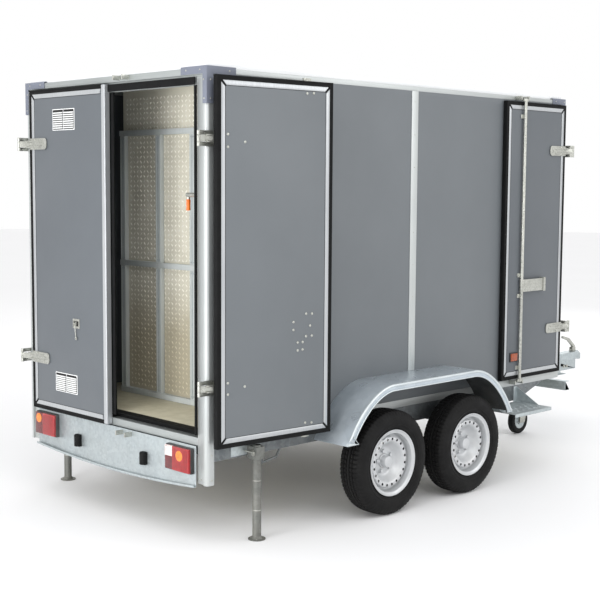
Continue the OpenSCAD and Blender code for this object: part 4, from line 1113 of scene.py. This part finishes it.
def makeRamp():
    low, high = span("ramp_plate")
    mesh = meshOf("ramp_plate")
    columns = int((high.y - low.y - ramp["sideMargin"]) / ramp["pitchAcross"])
    rows = int((high.z - low.z - ramp["endMargin"]) / ramp["pitchUp"])
    a, b = ramp["length"] / 2000, ramp["width"] / 2000
    proud = Vector((ramp["height"] / 1000, 0, 0))
    for row in range(rows):
        for column in range(columns):
            y = low.y + ramp["firstAcross"] + (column + 0.5) * ramp["pitchAcross"]
            z = low.z + ramp["firstUp"] + (row + 0.5) * ramp["pitchUp"]
            turn = ramp["lean"] * (1 if (row + column) % 2 else -1)
            long = Vector((0, math.sin(turn), math.cos(turn)))
            wide = Vector((0, math.cos(turn), -math.sin(turn)))
            centre = at(low.x, y, z)
            base = [long * a, wide * b, -long * a, -wide * b]
            bottom = [mesh.verts.new(centre + p + Vector((0.0004, 0, 0))) for p in base]
            upper = [mesh.verts.new(centre + p * ramp["crown"] - proud) for p in base]
            bridge(mesh, bottom, upper, 1)
            mesh.faces.new(upper).material_index = 1
            mesh.faces.new(bottom)
    makePiece("rampTread", mesh, ["treadPlate", "treadRaised"], bodyOf["ramp_plate"],
              ("ramp_plate",), smooth=20)


def makeRampDetail():
    # each channel has folded edges, a raised spine and rivets
    low, high = span("ramp_frame")
    bar, front = rampBars["bar"], low.x + rampBars["inFront"]
    middle = (low.z + high.z) / 2
    third = (high.y - low.y) / 3
    bays = ((low.z + bar + 1, middle - bar / 2 - 1), (middle + bar / 2 + 1, high.z - bar - 1))
    mesh = bmesh.new()
    for y in (low.y + 4, low.y + third - 2, high.y - third - 40, high.y - 46):
        for z0, z1 in bays:
            for a, b in rampBars["folds"]:
                addBlock(mesh, (front - 2.4, y + a, z0), (front + 1, y + b, z1), 0.8)
            a, b = rampBars["spine"]
            addBlock(mesh, (front - 2.0, y + a, z0), (front + 1, y + b, z1), 0.8, index=1)
            for z in (z0 + rampBars["rivetsIn"], z1 - rampBars["rivetsIn"]):
                for across in rampBars["rivetsAcross"]:
                    addBolt(mesh, at(front, y + across, z), (-1, 0, 0), 4.0, 2.0, 1)
    makePiece("rampChannels", mesh, ["rampBar", "galvanised"], bodyOf["ramp_frame"],
              smooth=30)


def makeLatchGrip():
    low, high = span("ramp_latch")
    mesh = bmesh.new()
    addLathe(mesh, at(low.x + 24, high.y - 9, high.z - 46), (0, 0, -1),
             [(0, 0), (9.0, 0), (10.5, 2), (10.8, 10), (9.8, 34), (10.8, 50), (10.2, 54), (0, 55)],
             24)
    makePiece("latchGrip", mesh, "orangeGrip", bodyOf["ramp_latch"], smooth=40)


makeRamp()
makeRampDetail()
makeLatchGrip()
print("stage: ramp made")


# tail lights, buffers and markers
lamp = {"length": 196.0, "depth": 34.0, "rim": 4.0, "lensIn": 12.0, "roundel": 26.0,
        "clearTo": 62.0, "darkEnd": 76.0, "ribs": 9}


def makeTailLight(name, side):
    # the right lamp has a clear part inboard, the left one a darker part outboard
    low, high = span("tail_lights")
    inner = high.y - lamp["length"]
    width, height = lamp["length"], high.z - low.z
    edge, roundel = lamp["rim"], lamp["roundel"]
    mesh = bmesh.new()

    def box(depth0, depth1, a, b, c, d, bevel, index):
        # a to b across from the inner end, c to d up from the foot
        ya, yb = sorted((side * (inner + a), side * (inner + b)))
        addBlock(mesh, (low.x + depth0, ya, low.z + c), (low.x + depth1, yb, low.z + d), bevel,
                 3, index)
    box(lamp["lensIn"], lamp["depth"] - 1, 0, width, 0, height, 3, 0)
    if side < 0:
        split = lamp["clearTo"]
        box(1, 16, edge, split, height * 0.55, height - edge, 3, 3)
        box(2, 16, edge, split, edge, height * 0.55 - 1, 3, 2)
        box(0, 16, split + 1, width - edge, edge, height - edge, 3, 1)
        across, up = 118.0, height * 0.64
        ribs = (split + 4, width - edge - 6)
    else:
        split = width - lamp["darkEnd"]
        box(0, 16, edge, split, edge, height - edge, 3, 1)
        box(1, 16, split + 1, width - edge, edge, height - edge, 3, 2)
        across, up = width - 40, height * 0.72
        ribs = (edge + 4, split - 4)
    centre = at(low.x + 0.2, side * (inner + across), low.z + up)
    addLathe(mesh, centre, (-1, 0, 0), [
        (roundel, -6), (roundel, 0.2), (roundel - 1.5, 0.9), (roundel - 4, 1.0),
        (roundel - 10, 0.4), (roundel - 14, 1.0), (4, 0.6), (0, 0.7)], 32, 4)
    for number in range(lamp["ribs"]):
        middle = ribs[0] + (ribs[1] - ribs[0]) * (number + 0.5) / lamp["ribs"]
        beside = abs(middle - across) < roundel + 3
        top = up - roundel - 3 if beside else height - edge - 8
        box(0, 2, middle - 1.6, middle + 1.6, edge + 5, top, 0.6, 1)
    for y in (16, width - 16):
        for z in (9, height - 9):
            addBolt(mesh, at(low.x + 1.2, side * (inner + y), low.z + z), (-1, 0, 0), 3.0, 1.0, 0)
    nodes = ("tail_lights",) if side < 0 else ()
    makePiece(name, mesh, ["blackPlastic", "redLens", "darkRedLens", "clearLens", "amberLens"],
              "trailer_body", nodes, smooth=35)


def makeBuffers():
    low, high = span("rubber_buffers")
    height = high.z - low.z
    half = 20.0
    profile = [(0.0, 0.5), (14, 0.5), (18, 2), (19.5, 5)]
    profile += [(radius, height - up) for radius, up in reversed(profile)]
    mesh = bmesh.new()
    for side in (-1, 1):
        y = side * (high.y - half)
        addBlock(mesh, (low.x + 14, y - half, low.z), (high.x - 0.5, y + half, high.z), 2)
        addLathe(mesh, at(low.x + 20.5, y, low.z), (0, 0, 1), profile, 40)
        # painted shade: a dark stripe on the buffer's face stands for the shade in its slot
        addBlock(mesh, (low.x + 0.2, y - 4, low.z + 14), (low.x + 6, y + 4, high.z - 14), 2, 3, 1)
    makePiece("buffers", mesh, ["sealRubber", "paintedGapShade"], "trailer_body",
              ("rubber_buffers",), smooth=40)


def makeMarker(node):
    low, high = span(node)
    side = 1 if low.y > 0 else -1
    mesh = bmesh.new()
    face = low.y if side < 0 else high.y
    inner = high.y if side < 0 else low.y
    a, b = sorted((inner, face - side * 6))
    addBlock(mesh, (low.x, a, low.z), (high.x, b, high.z), 2.5, 3, 1)
    a, b = sorted((inner, face - side * 1))
    addBlock(mesh, (low.x + 5, a, low.z + 5), (high.x - 5, b, high.z - 5), 4, 4, 0)
    centre = at((low.x + high.x) / 2, face - side * 1.2, (low.z + high.z) / 2)
    addLathe(mesh, centre, (0, side, 0), [(17, -1), (17, 0.6), (15, 1.0), (10, 0.5), (0, 0.9)], 32, 0)
    makePiece(node + "Lens", mesh, ["markerAmber", "blackPlastic"], bodyOf[node],
              (node,), smooth=40)


makeTailLight("leftTailLight", 1)
makeTailLight("rightTailLight", -1)
makeBuffers()
makeMarker("left_side_marker")
makeMarker("right_side_marker")
print("stage: lamps and buffers made")


# small fixings on the box and chassis
fixings = {
    # across in from the box's side and down from the caps' top, for the caps' back faces
    "capBack": ((18, 62), (46, 14), (150, 14), (16, 150)),
    # forward from the box's back and down, for the caps' sides
    "capSide": ((22, 62), (140, 16), (22, 150), (2890, 16), (2984, 16), (2986, 90)),
    "capFront": (20, 118), "capHeadUp": 16.0,
    # rivets of the rear posts: across in, then up from the foot
    "postBack": (76, 60), "postBackUp": 22.0, "postSide": ((30, 26), (30, 150)),
    "stripRows": 9, "stripEnds": 60.0}


def makeFixings():
    mesh = bmesh.new()
    postLow, postHigh = span("rear_posts")
    capLow, capHigh = span("corner_caps")
    half = postHigh.y
    top = capHigh.z - 3
    for side in (-1, 1):
        for inward, down in fixings["capBack"]:
            addBolt(mesh, at(capLow.x, side * (half - inward), top - down), (-1, 0, 0), 4.4, 2.4)
        for x, down in fixings["capSide"]:
            addBolt(mesh, at(x, side * capHigh.y, top - down), (0, side, 0), 4.4, 2.4)
        for inward in fixings["capFront"]:
            addBolt(mesh, at(capHigh.x, side * (half - inward), top - fixings["capHeadUp"]),
                    (1, 0, 0), 4.4, 2.4)
        for inward in fixings["postBack"]:
            addBolt(mesh, at(13, side * (half - inward), postLow.z + fixings["postBackUp"]),
                    (-1, 0, 0), 4.4, 2.6)
        for x, up in fixings["postSide"]:
            addBolt(mesh, at(x, side * half, postLow.z + up), (0, side, 0), 4.4, 2.6)
        for z in (postLow.z + 330, postHigh.z - 420):
            addBolt(mesh, at(36, side * half, z), (0, side, 0), 3.4, 1.8)
    stripLow, stripHigh = span("joint_strips")
    x = (stripLow.x + stripHigh.x) / 2
    first = stripLow.z + fixings["stripEnds"]
    step = (stripHigh.z - fixings["stripEnds"] - first) / (fixings["stripRows"] - 1)
    for side in (-1, 1):
        for number in range(fixings["stripRows"]):
            addBolt(mesh, at(x, side * stripHigh.y, first + number * step), (0, side, 0), 3.2, 1.2)
    makePiece("bodyFixings", mesh, "zinc", "trailer_body", smooth=40)


doorwaySeal = {"inFromPost": 85.0, "footUp": 240.0}


def makeHeaderBand():
    # black round the doorway: under the header a band that is partly seal and partly painted shade of the ceiling,
    # seals up both posts and along the sill, and on the sill's riser a black strip that is partly rubber and
    # partly painted shade
    low = span("rear_header")[0]
    postLow, postHigh = span("rear_posts")
    sillLow, sillHigh = span("rear_sill")
    inside = postHigh.y - doorwaySeal["inFromPost"]
    mesh = bmesh.new()
    # partly seal, partly painted shade: a black band under the header stands for the shade of the ceiling
    addBlock(mesh, (low.x - 3, -inside + 1, low.z + 1), (low.x + 1, inside - 1, leftHigh.z - 4),
             1.5)
    for side in (-1, 1):
        a, b = sorted((side * (inside + 1), side * (inside - 9)))
        addBlock(mesh, (low.x - 1, a, postLow.z + doorwaySeal["footUp"]), (low.x + 12, b, low.z),
                 2.0)
    addBlock(mesh, (sillLow.x + 6, -inside + 12, sillHigh.z - 1),
             (sillHigh.x - 1, inside - 12, sillHigh.z + 1.5), 0.7)
    # partly rubber, partly painted shade: a black strip on the sill's riser stands for the shade under the floor's
    # edge
    addBlock(mesh, (sillHigh.x - 24, -inside + 2, sillHigh.z - 31),
             (sillHigh.x - 18, inside - 2, sillHigh.z - 3), 1.5)
    makePiece("doorwaySealsAndShade", mesh, "sealRubber", "trailer_body", smooth=40)


stepTread = {"rows": 2, "columns": 6, "ends": 48.0, "firstRow": 60.0, "rowPitch": 62.0}
leg = {"across": 836.0, "clampZ": 452.0, "screwZ": 438.0, "ringsZ": (150, 300), "padBolts": 4,
       "padCircle": 32.0}
front = {"drawbarBolts": (4200, 4240), "drawbarHalf": 52.0, "drawbarZ": 380.0,
         "beamBoltAcross": 560.0, "beamBoltIn": 14.0}


def makeStepDetail():
    low, high = span("side_step")
    mesh = bmesh.new()
    level = [p for p in frame["nodes"]["side_step"].data.polygons if p.normal.z > 0.9]
    top = inMm(max(level, key=lambda p: p.area).center).z  # the tread plate's own face
    pitch = (high.x - low.x - 2 * stepTread["ends"]) / (stepTread["columns"] - 1)
    profile = [(11, 0), (10, 1.8), (7, 3.2), (5.5, 3.0), (5.0, 1.0), (0, 1.0)]
    for row in range(stepTread["rows"]):
        for number in range(stepTread["columns"]):
            x = low.x + stepTread["ends"] + number * pitch
            y = low.y + stepTread["firstRow"] + row * stepTread["rowPitch"]
            addLathe(mesh, at(x, y, top - 0.5), (0, 0, 1), profile, 20)
    makePiece("stepTread", mesh, "galvanised", "trailer_body", smooth=40)


def makeStabiliserDetail(name, side):
    # clamp screw with its bar, two rings on the leg and the pad's bolts
    node = name + "_stabiliser"
    low, high = span(node)
    x = (low.x + high.x) / 2
    y, z = side * leg["across"], leg["clampZ"]
    mesh = bmesh.new()
    addBolt(mesh, at(x - 27, y, leg["screwZ"]), (-1, 0, 0), 9, 7, 0, "hex")
    addTube(mesh, [at(x - 24, y, z), at(x - 52, y, z)], 5, 12)
    addTube(mesh, [at(x - 52, y - 34, z), at(x - 52, y + 34, z)], 4, 12)
    for ringZ in leg["ringsZ"]:
        addLathe(mesh, at(x, y, ringZ), (0, 0, 1), [(22.6, -2), (23.0, -1), (23.0, 1), (22.6, 2)],
                 40)
    for number in range(leg["padBolts"]):
        turn = math.pi / 4 + number * 2 * math.pi / leg["padBolts"]
        spot = at(x + leg["padCircle"] * math.cos(turn), y + leg["padCircle"] * math.sin(turn), 5)
        addBolt(mesh, spot, (0, 0, 1), 4, 2)
    makePiece(name + "LegDetail", mesh, "zinc", bodyOf[node], smooth=40)


def makeFrontDetail():
    # grip on the coupling's handle, and bolts of the drawbar and the front beam
    mesh = bmesh.new()
    low, high = span("coupling_handle")
    addLathe(mesh, at(high.x - 60, (low.y + high.y) / 2, low.z + 12), (1, 0, 0),
             [(0, -2), (9, -2), (10, 2), (9.4, 10), (0, 12)], 20)
    beamLow, beamHigh = span("front_crossbeam")
    for side in (-1, 1):
        for x in front["drawbarBolts"]:
            addBolt(mesh, at(x, side * front["drawbarHalf"], front["drawbarZ"]), (0, side, 0),
                    9, 6, 0, "hex")
        for x in (beamLow.x + front["beamBoltIn"], beamHigh.x - front["beamBoltIn"]):
            addBolt(mesh, at(x, side * front["beamBoltAcross"], beamHigh.z), (0, 0, 1), 8, 5, 0,
                    "hex")
    makePiece("frontFixings", mesh, "zinc", "trailer_body", smooth=40)


def makeJockeyWheel():
    low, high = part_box("jockey_wheel")
    centre = (low + high) / 2
    radius = (high.z - low.z) * 500
    half = (high.y - low.y) * 500
    mesh = bmesh.new()
    profile = [(radius * 0.62, -half + 3), (radius * 0.66, -half + 1), (radius - 9, -half),
               (radius - 3, -half + 3), (radius, -half + 9), (radius, half - 9),
               (radius - 3, half - 3), (radius - 9, half), (radius * 0.66, half - 1),
               (radius * 0.62, half - 3)]
    addLathe(mesh, centre, (0, 1, 0), profile, 64, 0, closed=True)
    for side in (-1, 1):
        dish = [(radius * 0.63, half - 4), (radius * 0.6, half - 2.5), (radius * 0.55, half - 7),
                (radius * 0.3, half - 9), (radius * 0.26, half - 2), (13, half - 1.5)]
        addLathe(mesh, centre, (0, side, 0), dish, 48, 1)
    makePiece("jockeyWheelShown", mesh, ["sealRubber", "galvanised"], bodyOf["jockey_wheel"],
              ("jockey_wheel",), smooth=35)


fender = {"lipBack": 6.0, "beads": ((7.0, 8.0, 8.0), (34.0, 3.6, 4.4))}  # in, radius, depth


def makeFender(side):
    # the lip stands back a little, so that its rolled edges stay inside the frame part's box
    node = ("left" if side > 0 else "right") + "_fender"
    low, high = span(node)
    outer = high.y if side > 0 else low.y
    mesh = meshOf(node)
    for vertex in mesh.verts:
        if abs(vertex.co.y * 1000 - outer) < 5:
            vertex.co.y -= side * fender["lipBack"] / 1000
    bevelEdges(mesh, 1.0)
    mesh.normal_update()
    middle = at((low.x + high.x) / 2, 0, low.z)
    # painted shade, partly road dirt: faces turned in towards the wheel take the dark finish
    for face in mesh.faces:
        inward = middle - face.calc_center_median()
        inward.y = 0
        if abs(face.normal.y) < 0.5 and face.normal.dot(inward.normalized()) > 0.2:
            face.material_index = 1
    makePiece(node + "_shown", mesh, ["fenderSteel", "paintedArchShade"], bodyOf[node],
              (node,))
    makeFenderBeads(node, side, low, high, outer)


def lipEdge(node, outer, middle):
    # the outer edge of the fender's lip, in order from one foot to the other
    points = {}
    for vertex in frame["nodes"][node].data.vertices:
        place = inMm(vertex.co)
        if abs(place.y - outer) > 0.5:
            continue
        flat = Vector((place.x, place.z)) - middle
        key = round(math.degrees(math.atan2(flat.y, flat.x)), 1)
        points.setdefault(key, []).append(flat)
    edge = []
    for key in sorted(points):
        far = max(points[key], key=lambda p: p.length)
        if not edge or (far - edge[-1]).length > 4:
            edge.append(far)
    kept = [edge[0]]
    for before, point, after in zip(edge, edge[1:], edge[2:]):
        if point.length > 0.985 * (before.length + after.length) / 2:
            kept.append(point)  # the others lie on the lip's inner edge
    kept.append(edge[-1])
    return kept


def makeFenderBeads(node, side, low, high, outer):
    middle = Vector(((low.x + high.x) / 2, low.z))
    kept = lipEdge(node, outer, middle)
    mesh = bmesh.new()
    for inward, radius, depth in fender["beads"]:
        line = []
        for number, point in enumerate(kept):
            before = kept[max(number - 1, 0)]
            after = kept[min(number + 1, len(kept) - 1)]
            along = (after - before).normalized()
            inside = Vector((-along.y, along.x))
            spot = point + inside * inward + middle
            line.append(at(spot.x, outer - side * depth, max(spot.y, low.z + radius)))
        addTube(mesh, line, radius, 14)
    # painted highlight: the beads take the lighter lip finish
    makePiece(node + "Bead", mesh, "fenderEdge", "trailer_body", smooth=60)


makeFender(1)
makeFender(-1)
makeFixings()
makeHeaderBand()
makeStepDetail()
makeStabiliserDetail("left", 1)
makeStabiliserDetail("right", -1)
makeFrontDetail()
makeJockeyWheel()
print("stage: fixings made")
